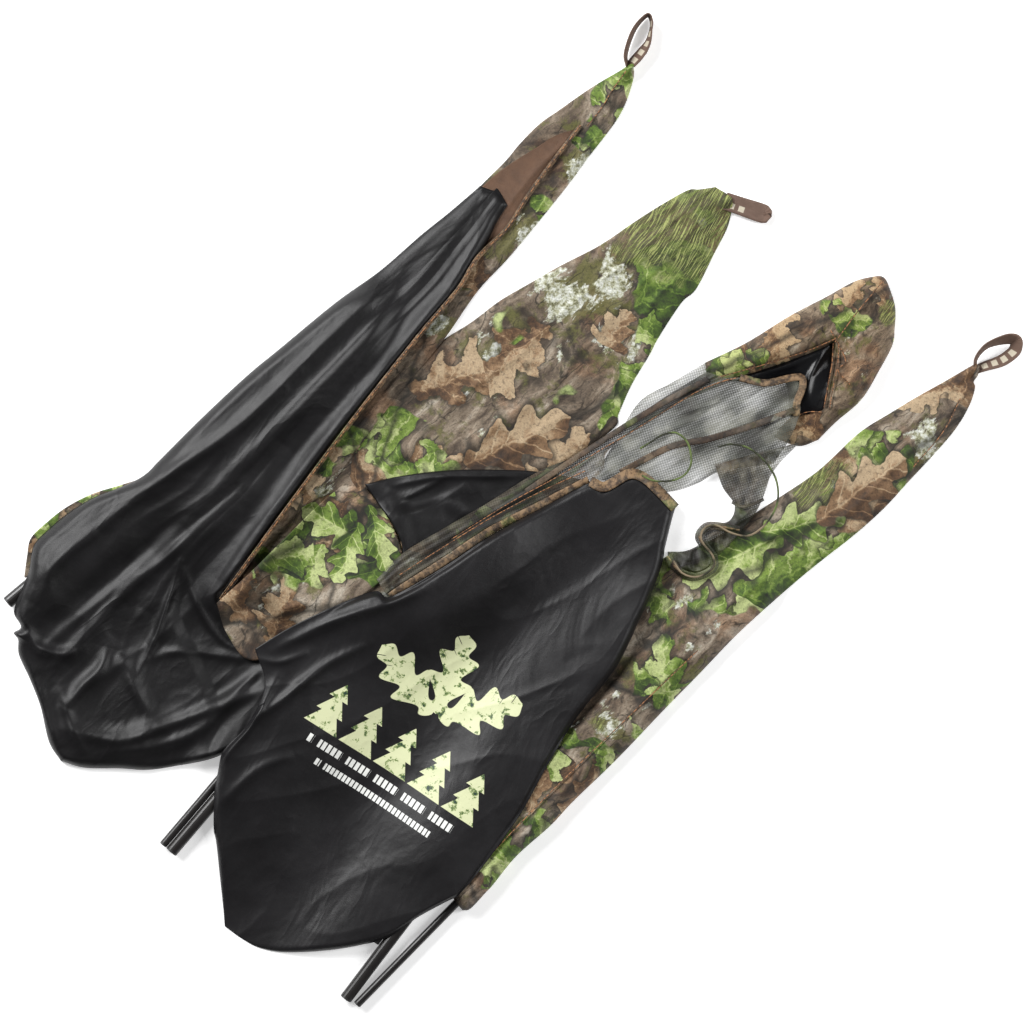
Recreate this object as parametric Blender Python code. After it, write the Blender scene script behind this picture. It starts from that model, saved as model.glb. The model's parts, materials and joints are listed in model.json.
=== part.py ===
"""A layout field blind, folded down and laid out on the ground.

Long cloth arms fan out of one gathered bundle. Each arm is sewn from two-faced cloth, printed
outside and coated black inside, and its pole is a thick and a thin tube lying side by side in a
sleeve, joined by an elastic cord. The arms swing on the ground, the poles draw out of their
sleeves, and the webbing loops at the tips flip up.

Metres, +Z up. The ground is z = 0 and the origin lies under the middle of the object.
Outlines are laid out in millimetres and turned into metres by plan().
"""

import math

import bmesh
import bpy
from mathutils import Matrix, Vector

MM = 0.001
GAP = 0.4 * MM  # air between two touching pieces
SIDES = 20  # facets round a tube

# Poles: a thick and a thin section of the same length
SECTION_LENGTH = 520 * MM
THICK_RADIUS = 8.5 * MM
THIN_RADIUS = 5.5 * MM
THICK_BORE = 7.2 * MM
THIN_BORE = 3.6 * MM
PAIR_SPACING = THICK_RADIUS + THIN_RADIUS + GAP
CAP_FLANGE = 3 * MM
CAP_PLUG = 22 * MM
CAP_HOLE = 2.2 * MM
SHOCK_CORD_RADIUS = 1.5 * MM
SHOCK_CORD_REACH = 60 * MM  # how far the elastic cord runs down into each section
SLEEVE_WALL = 1.2 * MM
AXIS_HEIGHT = SLEEVE_WALL + GAP + THICK_RADIUS
SLEEVE_TOP = 2 * AXIS_HEIGHT

# Heights of the layers of cloth
ARM_EDGE = 13 * MM
ARM_TOP = 26 * MM
LAYER_1 = 27 * MM  # lining and patch lying over the second arm
LAYER_2 = 30 * MM  # mesh lying over those
LAYER_3 = 33 * MM  # printed panel lying over the mesh
PLATE = 2.5 * MM
BUNDLE_TOP = 52 * MM
HOOD_TOP = 46 * MM
SKIRT_TOP = 29 * MM

WEBBING_WIDTH = 20 * MM
WEBBING_THICK = 1.6 * MM
DRAWCORD_RADIUS = 1.4 * MM

COLOURS = {
    "camo_cloth": ((0.20, 0.19, 0.09), 0.8, 0.0),
    "black_lining": ((0.018, 0.018, 0.020), 0.45, 0.0),
    "mesh_net": ((0.10, 0.11, 0.08), 0.8, 0.0),
    "brown_cloth": ((0.17, 0.095, 0.055), 0.7, 0.0),
    "webbing": ((0.16, 0.10, 0.06), 0.75, 0.0),
    "pole_coat": ((0.02, 0.02, 0.02), 0.3, 0.6),
    "black_plastic": ((0.02, 0.02, 0.02), 0.5, 0.0),
    "elastic_cord": ((0.03, 0.03, 0.03), 0.8, 0.0),
    "drawcord": ((0.12, 0.14, 0.05), 0.7, 0.0),
}


def clear_scene():
    for item in list(bpy.data.objects):
        bpy.data.objects.remove(item, do_unlink=True)


def material(slot):
    found = bpy.data.materials.get(slot)
    if found:
        return found
    colour, roughness, metallic = COLOURS[slot]
    made = bpy.data.materials.new(slot)
    made.use_nodes = True
    shader = made.node_tree.nodes["Principled BSDF"]
    shader.inputs["Base Color"].default_value = (*colour, 1.0)
    shader.inputs["Roughness"].default_value = roughness
    shader.inputs["Metallic"].default_value = metallic
    return made


def add_object(name, data, slot):
    made = bpy.data.objects.new(name, data)
    bpy.context.scene.collection.objects.link(made)
    data.materials.append(material(slot))
    return made


def add_mesh(name, points, faces, slot):
    """A mesh object with its faces turned outwards."""
    shape = bmesh.new()
    corners = [shape.verts.new(point) for point in points]
    for face in faces:
        shape.faces.new([corners[index] for index in face])
    bmesh.ops.recalc_face_normals(shape, faces=shape.faces)
    data = bpy.data.meshes.new(name)
    shape.to_mesh(data)
    shape.free()
    return add_object(name, data, slot)


def plan(points):
    """Outline points from millimetres to metres."""
    return [Vector((x * MM, y * MM)) for x, y in points]


def smooth_open(points, spacing):
    """A smooth route through the points, with a point about every spacing."""
    ends = [2 * points[0] - points[1], *points, 2 * points[-1] - points[-2]]
    route = [points[0]]
    for index in range(1, len(ends) - 2):
        before, here, after, beyond = ends[index - 1 : index + 3]
        steps = max(1, round((after - here).length / spacing))
        for step in range(1, steps + 1):
            t = step / steps
            route.append(
                0.5
                * (
                    2 * here
                    + (after - before) * t
                    + (2 * before - 5 * here + 4 * after - beyond) * t**2
                    + (3 * here - before - 3 * after + beyond) * t**3
                )
            )
    return route


def stack_rings(name, rings, slot):
    """A closed solid whose walls join rings of equal counts, the first and last ring filled."""
    count = len(rings[0])
    points = [point for ring in rings for point in ring]
    faces = [list(range(count)), [len(points) - count + i for i in range(count)]]
    for level in range(len(rings) - 1):
        low = level * count
        high = low + count
        for i in range(count):
            j = (i + 1) % count
            faces.append([low + i, low + j, high + j, high + i])
    return add_mesh(name, points, faces, slot)


def plate(name, outline, bottom, slot, thickness=PLATE):
    """A flat piece of cloth with the given outline."""
    rings = [[Vector((p.x, p.y, z)) for p in outline] for z in (bottom, bottom + thickness)]
    return stack_rings(name, rings, slot)


def ribbon(name, route, width, bottom, slot, thickness=PLATE):
    """A flat strip of this width that follows a route."""
    left = []
    right = []
    for index, point in enumerate(route):
        ahead = route[min(index + 1, len(route) - 1)]
        behind = route[max(index - 1, 0)]
        along = (ahead - behind).normalized()
        side = Vector((-along.y, along.x)) * width / 2
        left.append(point + side)
        right.append(point - side)
    return plate(name, left + right[::-1], bottom, slot, thickness)


def pillow(name, outline, spine, edge, top, slot, crown=0.72):
    """A soft full form: its sides rise to the edge height and close in towards its spine."""
    start, end = spine
    along = (end - start).normalized()
    reach = (end - start).length

    def towards_spine(point, share):
        run = min(max((point - start).dot(along), 0.0), reach)
        return start + along * run + (point - start - along * run) * share

    rings = []
    for share, height in ((0.96, 0.0), (1.0, edge * 0.4), (1.0, edge), (crown, top)):
        near = [towards_spine(point, share) for point in outline]
        rings.append([Vector((p.x, p.y, height)) for p in near])
    return stack_rings(name, rings, slot)


def draped_slab(name, rim, middle, share, crest, thickness, slot):
    """A sheet of even thickness that slopes from its rim to a level part round its middle.

    The upper and lower faces are split along the same diagonals, so they never cross.
    """
    count = len(rim)
    inner = []
    for point in rim:
        spot = middle + (point - middle) * share
        inner.append(Vector((spot.x, spot.y, crest)))
    lift = Vector((0, 0, thickness))
    low = inner + rim
    points = low + [point + lift for point in low]
    top = len(low)
    faces = [list(range(count)), [top + i for i in range(count)]]
    for i in range(count):
        j = (i + 1) % count
        for level in (0, top):
            faces.append([level + i, level + count + j, level + j])
            faces.append([level + i, level + count + i, level + count + j])
        faces.append([count + i, count + j, top + count + j, top + count + i])
    return add_mesh(name, points, faces, slot)


def cut(target, cutters):
    """Takes each cutter's shape out of the target."""
    for cutter in cutters:
        cutter.hide_render = True
        cutter.display_type = "WIRE"
        modifier = target.modifiers.new("cut_" + cutter.name, "BOOLEAN")
        modifier.operation = "DIFFERENCE"
        modifier.solver = "EXACT"
        modifier.object = cutter


def prism_cutter(name, outline, bottom, top):
    cutter = plate(name, outline, bottom, "black_plastic", top - bottom)
    cutter.data.materials.clear()
    return cutter


class PoleLine:
    """Where one pole lies: its foot, its heading and the side that its second section is on."""

    def __init__(self, number, foot, heading, first, side, delay):
        self.number = number
        self.foot = Vector(foot) * MM
        angle = math.radians(heading)
        self.along = Vector((math.cos(angle), math.sin(angle)))
        self.left = Vector((-self.along.y, self.along.x))
        self.first = first  # which section starts at the foot: "thick" or "thin"
        self.side = side  # +1 when the other section lies to the left, -1 to the right
        self.delay = delay * MM  # how far up the other section starts

    def place(self, run, offset=0.0):
        return self.foot + self.along * run + self.left * offset

    def section(self, kind):
        """Start, offset and outer radius of the thick or the thin section."""
        radius = THICK_RADIUS if kind == "thick" else THIN_RADIUS
        if kind == self.first:
            return 0.0, 0.0, radius
        return self.delay, self.side * PAIR_SPACING, radius

    def frame(self, run, offset):
        """Local X along the pole, at its height."""
        spot = self.place(run, offset)
        turn = Matrix.Rotation(math.atan2(self.along.y, self.along.x), 4, "Z")
        return Matrix.Translation((spot.x, spot.y, AXIS_HEIGHT)) @ turn

    def pair_outline(self, grow):
        """Section of the sleeve round both tubes: (across, up) points, left is positive."""
        circles = []
        for kind in ("thick", "thin"):
            _, offset, radius = self.section(kind)
            circles.append((offset, radius + grow))
        circles.sort()
        (right_at, right_r), (left_at, left_r) = circles
        lean = math.acos((right_r - left_r) / (left_at - right_at))
        points = []
        for index in range(SIDES // 2 + 1):
            angle = -lean + 2 * lean * index / (SIDES // 2)
            points.append((left_at + left_r * math.cos(angle), left_r * math.sin(angle)))
        for index in range(SIDES // 2 + 1):
            angle = lean + 2 * (math.pi - lean) * index / (SIDES // 2)
            points.append((right_at + right_r * math.cos(angle), right_r * math.sin(angle)))
        return points

    def pair_ring(self, run, grow):
        turn = self.frame(run, 0.0)
        return [turn @ Vector((0, across, up)) for across, up in self.pair_outline(grow)]


# The far tips of arms 1 and 4, and the ends of poles 1 and 4, set the overall length and width.
POLES = [
    PoleLine(1, (-679, -124), 40.0, "thick", -1, 55),
    PoleLine(2, (-458, -461), 49.6, "thick", 1, 0),
    PoleLine(3, (-222, -660), 52.8, "thick", 1, 85),
    PoleLine(4, (-206.5, -668), 45.6, "thin", 1, 235),
]
SLEEVE_STARTS = {1: 40 * MM, 2: 118 * MM, 3: 124 * MM, 4: 228 * MM}
SLEEVE_END_ROOM = 24 * MM  # room past the sections for the bend of the elastic cord


def sleeve_end(line):
    return line.delay + SECTION_LENGTH + SLEEVE_END_ROOM


def turned(name, profile, frame, slot):
    """A round piece from (along, radius) points; the profile is closed on itself."""
    points = []
    faces = []
    count = len(profile)
    for turn in range(SIDES):
        angle = 2 * math.pi * turn / SIDES
        for along, radius in profile:
            offset = Vector((along, radius * math.cos(angle), radius * math.sin(angle)))
            points.append(frame @ offset)
    for turn in range(SIDES):
        here = turn * count
        there = (turn + 1) % SIDES * count
        for i in range(count):
            j = (i + 1) % count
            faces.append([here + i, here + j, there + j, there + i])
    return add_mesh(name, points, faces, slot)


def make_tube(line, kind):
    start, offset, radius = line.section(kind)
    bore = THICK_BORE if kind == "thick" else THIN_BORE
    frame = line.frame(start, offset)
    profile = [(0, radius), (SECTION_LENGTH, radius), (SECTION_LENGTH, bore), (0, bore)]
    return turned(f"pole_{line.number}_{kind}_section", profile, frame, "pole_coat")


def make_plug(name, line, kind, at_top, hole, slot):
    """A stepped plug in one end of a section, with a flange outside and a hole through it."""
    start, offset, radius = line.section(kind)
    bore = THICK_BORE if kind == "thick" else THIN_BORE
    stub = bore - GAP
    run = start + SECTION_LENGTH + GAP if at_top else start - GAP
    out = 1 if at_top else -1
    profile = [
        (out * CAP_FLANGE, hole),
        (out * CAP_FLANGE, radius - 0.8 * MM),
        (out * CAP_FLANGE * 0.7, radius),
        (0, radius),
        (0, stub),
        (-out * CAP_PLUG, stub),
        (-out * CAP_PLUG, hole),
    ]
    return turned(name, profile, line.frame(run, offset), slot)


def make_shock_cord(line):
    """Elastic cord that leaves one section, bends over and runs back into the other."""
    top = 0.0
    tops = {}
    for kind in ("thick", "thin"):
        start, offset, _ = line.section(kind)
        tops[kind] = (start + SECTION_LENGTH, offset)
        top = max(top, start + SECTION_LENGTH)
    bend = top + CAP_FLANGE + 4 * MM
    (thick_top, thick_at), (thin_top, thin_at) = tops["thick"], tops["thin"]
    route = [(thick_top - SHOCK_CORD_REACH, thick_at)]
    middle = (thick_at + thin_at) / 2
    half = abs(thick_at - thin_at) / 2
    turn = 1 if thin_at > thick_at else -1
    for index in range(13):
        angle = math.pi * index / 12
        route.append((bend + half * math.sin(angle), middle - turn * half * math.cos(angle)))
    route.append((thin_top - SHOCK_CORD_REACH, thin_at))
    curve = bpy.data.curves.new(f"pole_{line.number}_shock_cord", "CURVE")
    curve.dimensions = "3D"
    curve.bevel_depth = SHOCK_CORD_RADIUS
    curve.bevel_resolution = 2
    curve.use_fill_caps = True
    spline = curve.splines.new("POLY")
    spline.points.add(len(route) - 1)
    for point, (run, offset) in zip(spline.points, route):
        spot = line.place(run, offset)
        point.co = (spot.x, spot.y, AXIS_HEIGHT, 1)
    return add_object(curve.name, curve, "elastic_cord")


def make_sleeve(line):
    """The cloth tube sewn round both sections, open at its mouth and closed at its far end."""
    mouth = SLEEVE_STARTS[line.number]
    end = sleeve_end(line)
    rings = [
        line.pair_ring(end - SLEEVE_WALL, GAP),
        line.pair_ring(mouth, GAP),
        line.pair_ring(mouth, GAP + SLEEVE_WALL),
        line.pair_ring(end, GAP + SLEEVE_WALL),
    ]
    return stack_rings(f"pole_{line.number}_sleeve", rings, "black_lining")


def make_pole(line):
    number = line.number
    make_tube(line, "thick")
    make_tube(line, "thin")
    make_plug(f"pole_{number}_end_cap", line, "thick", False, CAP_HOLE, "black_plastic")
    make_plug(f"pole_{number}_ferrule", line, "thick", True, CAP_HOLE, "black_plastic")
    make_plug(f"pole_{number}_thin_cap", line, "thin", False, 1.2 * MM, "black_plastic")
    make_shock_cord(line)
    make_sleeve(line)


def sleeve_channel(line):
    """Cutter that leaves room for a sleeve, from before its mouth to past its end."""
    rings = [
        line.pair_ring(SLEEVE_STARTS[line.number] - 60 * MM, 2 * GAP + SLEEVE_WALL),
        line.pair_ring(sleeve_end(line) + 1 * MM, 2 * GAP + SLEEVE_WALL),
    ]
    cutter = stack_rings(f"channel_{line.number}", rings, "black_plastic")
    cutter.data.materials.clear()
    return cutter


def pole_corridor(line, swing):
    """Cutter for the path that a pole and its sleeve sweep as their arm swings by this angle."""
    angle = math.radians(swing)
    room = 4 * MM
    edges = [THICK_RADIUS + SLEEVE_WALL, 2 * THIN_RADIUS + THICK_RADIUS + SLEEVE_WALL + GAP]
    left, right = edges[::-1] if line.side > 0 else edges
    if line.first == "thin" and line.side > 0:
        left = 2 * THICK_RADIUS + THIN_RADIUS + SLEEVE_WALL + GAP
    far = 760 * MM
    near = -40 * MM
    foot_left = line.place(near, left + room)
    foot_right = line.place(near, -right - room)
    far_left = line.place(far, left + room)
    far_right = line.place(far, -right - room) + line.left * math.tan(angle) * far
    outline = [foot_left, foot_right, far_right, far_left]
    return prism_cutter(f"corridor_{line.number}", outline, -5 * MM, SLEEVE_TOP + 2 * MM)


def make_arm_1():
    pole = POLES[0]
    beside = -(THICK_RADIUS + 2 * THIN_RADIUS + SLEEVE_WALL + 5 * MM)
    top_of_sleeve = sleeve_end(pole) + 8 * MM
    sleeve_side = [
        pole.place(top_of_sleeve, 9 * MM),
        pole.place(top_of_sleeve, beside),
        pole.place(60 * MM, beside),
    ]
    head = plan([(160, 593), (125, 585), (65, 540), (10, 495), (-40, 440), (-125, 370)])
    hem = plan([(-600, -134), (-520, -138), (-392, -122), (-340, -75), (-300, -15), (-255, 25)])
    lip = plan([(-210, 80), (-150, 160), (-90, 235), (-45, 300), (0, 350), (70, 435)])
    nose = plan([(105, 480), (145, 535), (165, 575)])
    outline = head + sleeve_side + hem + lip + nose
    spine = plan([(140, 560), (-500, -70)])
    pillow("arm_1_shell", outline, spine, ARM_EDGE, ARM_TOP, "camo_cloth")
    corner = plan([(-496, 51), (-540, 32), (-602, 0), (-650, -40), (-664, -93), (-580, -22)])
    plate("arm_1_corner", corner, 0.0, "camo_cloth", 9 * MM)
    slit = smooth_open(plan([(86, 503), (20, 420), (-45, 340), (-95, 270)]), 45 * MM)
    ribbon("arm_1_slit_binding", slit, 8 * MM, ARM_TOP + GAP, "camo_cloth", 2 * MM)
    inner = plan([(76, 507), (35, 493), (-25, 455), (-45, 436), (-25, 428), (-5, 408), (-12, 392)])
    inner += plan([(12, 422), (48, 466)])
    plate("arm_1_inner_panel", inner, ARM_TOP + GAP, "brown_cloth", 2 * MM)


def make_arm_2():
    left = plan([(275, 433), (255, 435), (205, 415), (120, 360), (25, 305), (-55, 250)])
    under_lip = plan([(-90, 220), (-145, 150), (-205, 70), (-250, 10), (-292, -50)])
    under_patch = plan([(-300, -95), (-270, -140), (-200, -150), (-120, -100), (-30, -25)])
    right = plan([(50, 45), (145, 115), (175, 170), (230, 280), (275, 345), (295, 385), (290, 425)])
    outline = left + under_lip + under_patch + right
    spine = plan([(270, 400), (-240, -90)])
    shell = pillow("arm_2_shell", outline, spine, ARM_EDGE, ARM_TOP, "camo_cloth")
    cut(shell, [sleeve_channel(POLES[1])])


def make_arm_4():
    left = plan([(620, 195), (585, 172), (515, 130), (415, 55), (365, 15), (315, -17), (255, -55)])
    under_panel = plan([(210, -90), (165, -175), (105, -260), (25, -365), (-45, -455)])
    foot = plan([(-80, -515), (-72, -535), (-55, -540), (-25, -507)])
    right = plan([(55, -430), (140, -340), (205, -270), (255, -225), (310, -185), (365, -145)])
    head = plan([(405, -110), (450, -70), (485, -50), (540, 40), (570, 70), (600, 105), (620, 140)])
    outline = left + under_panel + foot + right + head + plan([(628, 180)])
    spine = plan([(600, 150), (-50, -510)])
    shell = pillow("arm_4_shell", outline, spine, ARM_EDGE, ARM_TOP, "camo_cloth", 0.8)
    cut(shell, [sleeve_channel(POLES[3])])


def make_hood():
    """The bent camo cover over the third arm, round its mesh window."""
    outer = plan([(505, 315), (485, 315), (465, 310), (425, 290), (380, 265), (320, 226)])
    window = plan([(265, 198), (266, 176), (312, 186), (378, 203), (434, 226), (432, 200)])
    right = plan([(421, 138), (385, 112), (392, 96), (415, 93), (442, 120), (475, 150)])
    outline = outer + window + right + plan([(500, 190), (515, 225), (520, 270)])
    rings = []
    spine = plan([(480, 280), (440, 250), (300, 208)]), plan([(478, 260), (462, 190), (425, 118)])
    middle = [p for line in spine for p in smooth_open(line, 10 * MM)]
    for share, height in ((0.94, 0.0), (1.0, 0.2 * HOOD_TOP), (1.0, 0.5 * HOOD_TOP), (0.6, HOOD_TOP)):
        ring = []
        for point in outline:
            near = min(middle, key=lambda spot: (spot - point).length)
            spot = near + (point - near) * share
            ring.append(Vector((spot.x, spot.y, height)))
        rings.append(ring)
    stack_rings("hood", rings, "camo_cloth")
    lining = plan([(318, 179), (378, 198), (428, 218), (415, 140), (400, 150), (390, 170), (350, 174)])
    plate("hood_lining", lining, 0.0, "black_lining", 6 * MM)


def make_window_mesh():
    panel = plan([(262, 192), (178, 145), (143, 95), (129, 52), (160, 54), (180, 48), (212, 28)])
    panel += plan([(275, 50), (355, 50), (400, 84), (382, 96), (374, 112), (380, 134), (388, 166)])
    panel += plan([(345, 168), (312, 174), (262, 171)])
    plate("mesh_panel", panel, LAYER_2, "mesh_net")
    frame = smooth_open(plan([(309, 174), (343, 169), (378, 175), (388, 164), (379, 134)]), 14 * MM)
    ribbon("window_binding", frame, 7 * MM, LAYER_2 + PLATE + GAP, "camo_cloth", 1.6 * MM)
    strip = plan([(138, 94), (35, 45), (-55, -10), (-145, -65), (-180, -97), (-162, -113)])
    strip += plan([(-95, -68), (-30, -24), (100, 40), (123, 53)])
    plate("mesh_strip", strip, LAYER_2, "mesh_net")
    border = smooth_open(plan([(-160, -118), (-95, -75), (-30, -31), (103, 33)]), 60 * MM)
    ribbon("mesh_strip_hem", border, 9 * MM, LAYER_2, "camo_cloth", 2 * MM)


def make_mesh_skirt():
    outline = plan([(272, 48), (282, 36), (290, 24), (300, 18), (297, 2), (277, -12), (277, -25)])
    outline += plan([(292, -22), (308, -11), (325, 4), (340, 24), (350, 48)])
    spine = plan([(308, 35), (300, -10)])
    pillow("mesh_skirt", outline, spine, 12 * MM, SKIRT_TOP, "mesh_net", 0.7)


def make_gathered_lining():
    """The black inner cloth, bunched up where the arms meet."""
    left = plan([(-668, -150), (-662, -195), (-650, -230), (-630, -265), (-620, -320), (-605, -340)])
    low = plan([(-560, -342), (-495, -349), (-455, -341), (-405, -325), (-370, -295)])
    right = plan([(-350, -245), (-337, -205), (-352, -165), (-390, -146), (-460, -148), (-560, -148)])
    outline = left + low + right
    spine = plan([(-540, -240), (-440, -240)])
    pillow("gathered_lining", outline, spine, 22 * MM, BUNDLE_TOP, "black_lining", 0.6)


def make_upper_cloth():
    patch = plan([(-393, -125), (-345, -68), (-285, -15), (-232, 33), (-200, 30), (-165, -18)])
    patch += plan([(-150, -62), (-172, -82), (-240, -128), (-348, -172)])
    plate("camo_patch", patch, LAYER_1, "camo_cloth")
    lining = plan([(-196, 32), (-150, 45), (-85, 55), (-25, 55), (35, 48), (-55, -7), (-142, -58)])
    lining += plan([(-160, -18)])
    plate("upper_lining", lining, LAYER_1, "black_lining")


def make_lower_panel():
    """The printed black panel: it drapes from over the poles down to the ground."""
    over_mesh = [(110, 35, 33), (125, 25, 33), (160, 45, 33), (180, 40, 33), (220, 5, 33)]
    over_arm_4 = [(213, -15, 29), (208, -55, 28), (195, -90, 28), (170, -150, 28), (135, -220, 28)]
    over_foot = [(90, -280, 28), (50, -340, 28), (10, -410, 28), (-40, -485, 28), (-74, -524, 28)]
    on_ground = [(-122, -548, 6), (-175, -581, 1), (-255, -590, 1), (-320, -592, 1), (-365, -590, 1)]
    left = [(-380, -560, 1), (-388, -490, 1), (-400, -430, 1), (-400, -380, 4), (-384, -335, 28)]
    by_bundle = [(-348, -295, 32), (-318, -215, 33), (-290, -170, 33), (-160, -112, 33)]
    rim = over_mesh + over_arm_4 + over_foot + on_ground + left + by_bundle + [(-30, -36, 33)]
    rim = [Vector(point) * MM for point in rim]
    middle = Vector((-95, -280, 0)) * MM
    thickness = 4 * MM
    panel = draped_slab("lower_panel", rim, middle, 0.72, LAYER_3, thickness, "black_lining")
    corridors = [pole_corridor(POLES[1], -2.5), pole_corridor(POLES[2], 0.0)]
    cut(panel, corridors + [pole_corridor(POLES[3], -5.0)])
    hem = smooth_open(plan([(112, 36), (127, 28), (160, 45), (180, 41), (219, 3)]), 20 * MM)
    ribbon("lower_panel_hem", hem, 9 * MM, LAYER_3 + thickness + GAP, "camo_cloth", 2 * MM)


def make_loop(name, root, heading, length, eye, upright):
    """A webbing strap sewn back on itself: it stands on edge, or lies flat when not upright."""
    angle = math.radians(heading)
    steps = 28

    def teardrop(start, reach, width):
        points = []
        for step in range(steps):
            turn = 2 * math.pi * (step + 0.5) / steps
            out = start + (reach - start) * (1 - math.cos(turn)) / 2
            points.append((out, width / 2 * math.sin(turn) * math.sin(turn / 2)))
        return points

    outer = teardrop(0.0, length, eye + 2 * WEBBING_THICK + 2 * MM)
    inner = teardrop(9 * MM, length - WEBBING_THICK, eye)
    half = WEBBING_WIDTH / 2
    middle = half + 2 * MM if upright else 7 * MM
    spot = Matrix.Translation((root[0] * MM, root[1] * MM, middle)) @ Matrix.Rotation(angle, 4, "Z")
    rings = []
    for outline, level in ((outer, -half), (outer, half), (inner, half), (inner, -half)):
        ring = []
        for out, across in outline:
            local = (out, across, level) if upright else (out, level, across)
            ring.append(spot @ Vector(local))
        rings.append(ring)
    points = [point for ring in rings for point in ring]
    faces = []
    for level in range(4):
        low = level * steps
        high = (level + 1) % 4 * steps
        for i in range(steps):
            j = (i + 1) % steps
            faces.append([low + i, low + j, high + j, high + i])
    return add_mesh(name, points, faces, "webbing")


def make_loops():
    make_loop("loop_1", (163, 597), 68, 82 * MM, 30 * MM, True)
    make_loop("loop_2", (297, 418), -20, 52 * MM, 9 * MM, False)
    make_loop("loop_4", (631, 191), 24, 60 * MM, 34 * MM, True)


def make_drawcord(name, route):
    points = [Vector(point) * MM for point in route]
    curve = bpy.data.curves.new(name, "CURVE")
    curve.dimensions = "3D"
    curve.bevel_depth = DRAWCORD_RADIUS
    curve.bevel_resolution = 2
    curve.use_fill_caps = True
    smooth = smooth_open(points, 7 * MM)
    spline = curve.splines.new("POLY")
    spline.points.add(len(smooth) - 1)
    for knot, spot in zip(spline.points, smooth):
        knot.co = (*spot, 1)
    return add_object(name, curve, "drawcord")


def make_drawcords():
    """Cords that draw the mesh in; both ends of each go back into a hem."""
    make_drawcord(
        "drawcord_short",
        [(174, 82, 35), (190, 92, 35), (205, 101, 35), (223, 103, 35), (238, 90, 35), (243, 66, 35)]
        + [(237, 50, 36), (224, 41, 39), (208, 38, 41.4), (191, 39, 41.4), (176, 46, 41.4)],
    )
    make_drawcord(
        "drawcord_long",
        [(279, 84, 35), (296, 88, 35), (320, 83, 35), (344, 63, 35), (358, 38, 35), (359, 9, 33)]
        + [(345, -18, 30), (322, -35, 30), (298, -32, 32), (276, -21, 31), (260, -26, 30)]
        + [(257, -42, 30), (272, -62, 30), (273, -78, 30), (252, -91, 30), (231, -86, 30)]
        + [(219, -69, 30)],
    )


def main():
    clear_scene()
    for line in POLES:
        make_pole(line)
    make_arm_1()
    make_arm_2()
    make_arm_4()
    make_hood()
    make_window_mesh()
    make_mesh_skirt()
    make_gathered_lining()
    make_upper_cloth()
    make_lower_panel()
    make_loops()
    make_drawcords()


main()
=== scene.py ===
"""Looks for a folded layout field blind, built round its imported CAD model.

Each piece of cloth is a fine grid stretched between four edges. It is laid on whatever is already
there, so the pieces stack as they do on the real object, and then it gets its own folds. Outlines
are in millimetres, in the model's own frame, and plan() turns them into metres.
"""

import json
import math

import bpy
import numpy as np
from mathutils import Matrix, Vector, noise
from mathutils.bvhtree import BVHTree


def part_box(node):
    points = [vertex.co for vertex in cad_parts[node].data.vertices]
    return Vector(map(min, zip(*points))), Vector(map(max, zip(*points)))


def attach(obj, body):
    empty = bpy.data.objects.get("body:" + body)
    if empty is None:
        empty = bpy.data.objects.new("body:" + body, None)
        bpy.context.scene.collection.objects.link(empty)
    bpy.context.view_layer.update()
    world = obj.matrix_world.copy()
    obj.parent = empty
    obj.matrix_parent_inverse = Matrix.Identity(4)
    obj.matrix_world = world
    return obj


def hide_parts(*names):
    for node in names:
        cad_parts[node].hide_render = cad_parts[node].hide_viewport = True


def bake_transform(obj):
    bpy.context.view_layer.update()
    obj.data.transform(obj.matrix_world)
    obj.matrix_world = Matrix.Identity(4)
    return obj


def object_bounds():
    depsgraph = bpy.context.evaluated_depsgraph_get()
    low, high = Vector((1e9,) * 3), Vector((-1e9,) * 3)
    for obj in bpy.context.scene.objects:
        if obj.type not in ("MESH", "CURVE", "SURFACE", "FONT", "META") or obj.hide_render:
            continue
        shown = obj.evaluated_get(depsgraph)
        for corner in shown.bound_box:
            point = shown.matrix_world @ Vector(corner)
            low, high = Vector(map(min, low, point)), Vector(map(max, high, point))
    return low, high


MM = 0.001
GRID = 2.6 * MM  # spacing of the cloth's grid
THIN = 0.6 * MM  # thickness of one layer of cloth
GAP = 0.5 * MM  # air under a layer
UNDERSIDE = 0.6 * MM  # height of the lower layer of a shell that lies on the floor
WEBBING_WIDTH = 20 * MM
CORD_DIAMETER = 2.8 * MM

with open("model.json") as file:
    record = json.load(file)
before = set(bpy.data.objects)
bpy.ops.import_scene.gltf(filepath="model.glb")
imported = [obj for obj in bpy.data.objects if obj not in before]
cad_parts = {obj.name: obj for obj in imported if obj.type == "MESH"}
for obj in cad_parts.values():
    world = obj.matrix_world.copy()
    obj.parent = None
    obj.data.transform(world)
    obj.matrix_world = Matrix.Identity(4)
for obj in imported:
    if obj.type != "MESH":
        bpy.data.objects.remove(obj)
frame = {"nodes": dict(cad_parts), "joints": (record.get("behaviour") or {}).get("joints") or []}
cad_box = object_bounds()


def plan(points):
    """Outline points from millimetres to metres."""
    return np.array(points, float) * MM


# ---------------------------------------------------------------- camera and light


def make_camera(low, high):
    """A long lens straight above the object, with a little room round it."""
    away = 6.0
    width = (high.x - low.x) * 1.0066
    data = bpy.data.cameras.new("camera")
    data.sensor_width = 36.0
    data.lens = data.sensor_width * (away - high.z / 2) / width
    data.clip_end = 50.0
    camera = bpy.data.objects.new("camera", data)
    camera.location = (1.3 * MM, -3.4 * MM, away)
    bpy.context.scene.collection.objects.link(camera)
    bpy.context.scene.camera = camera


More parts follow.
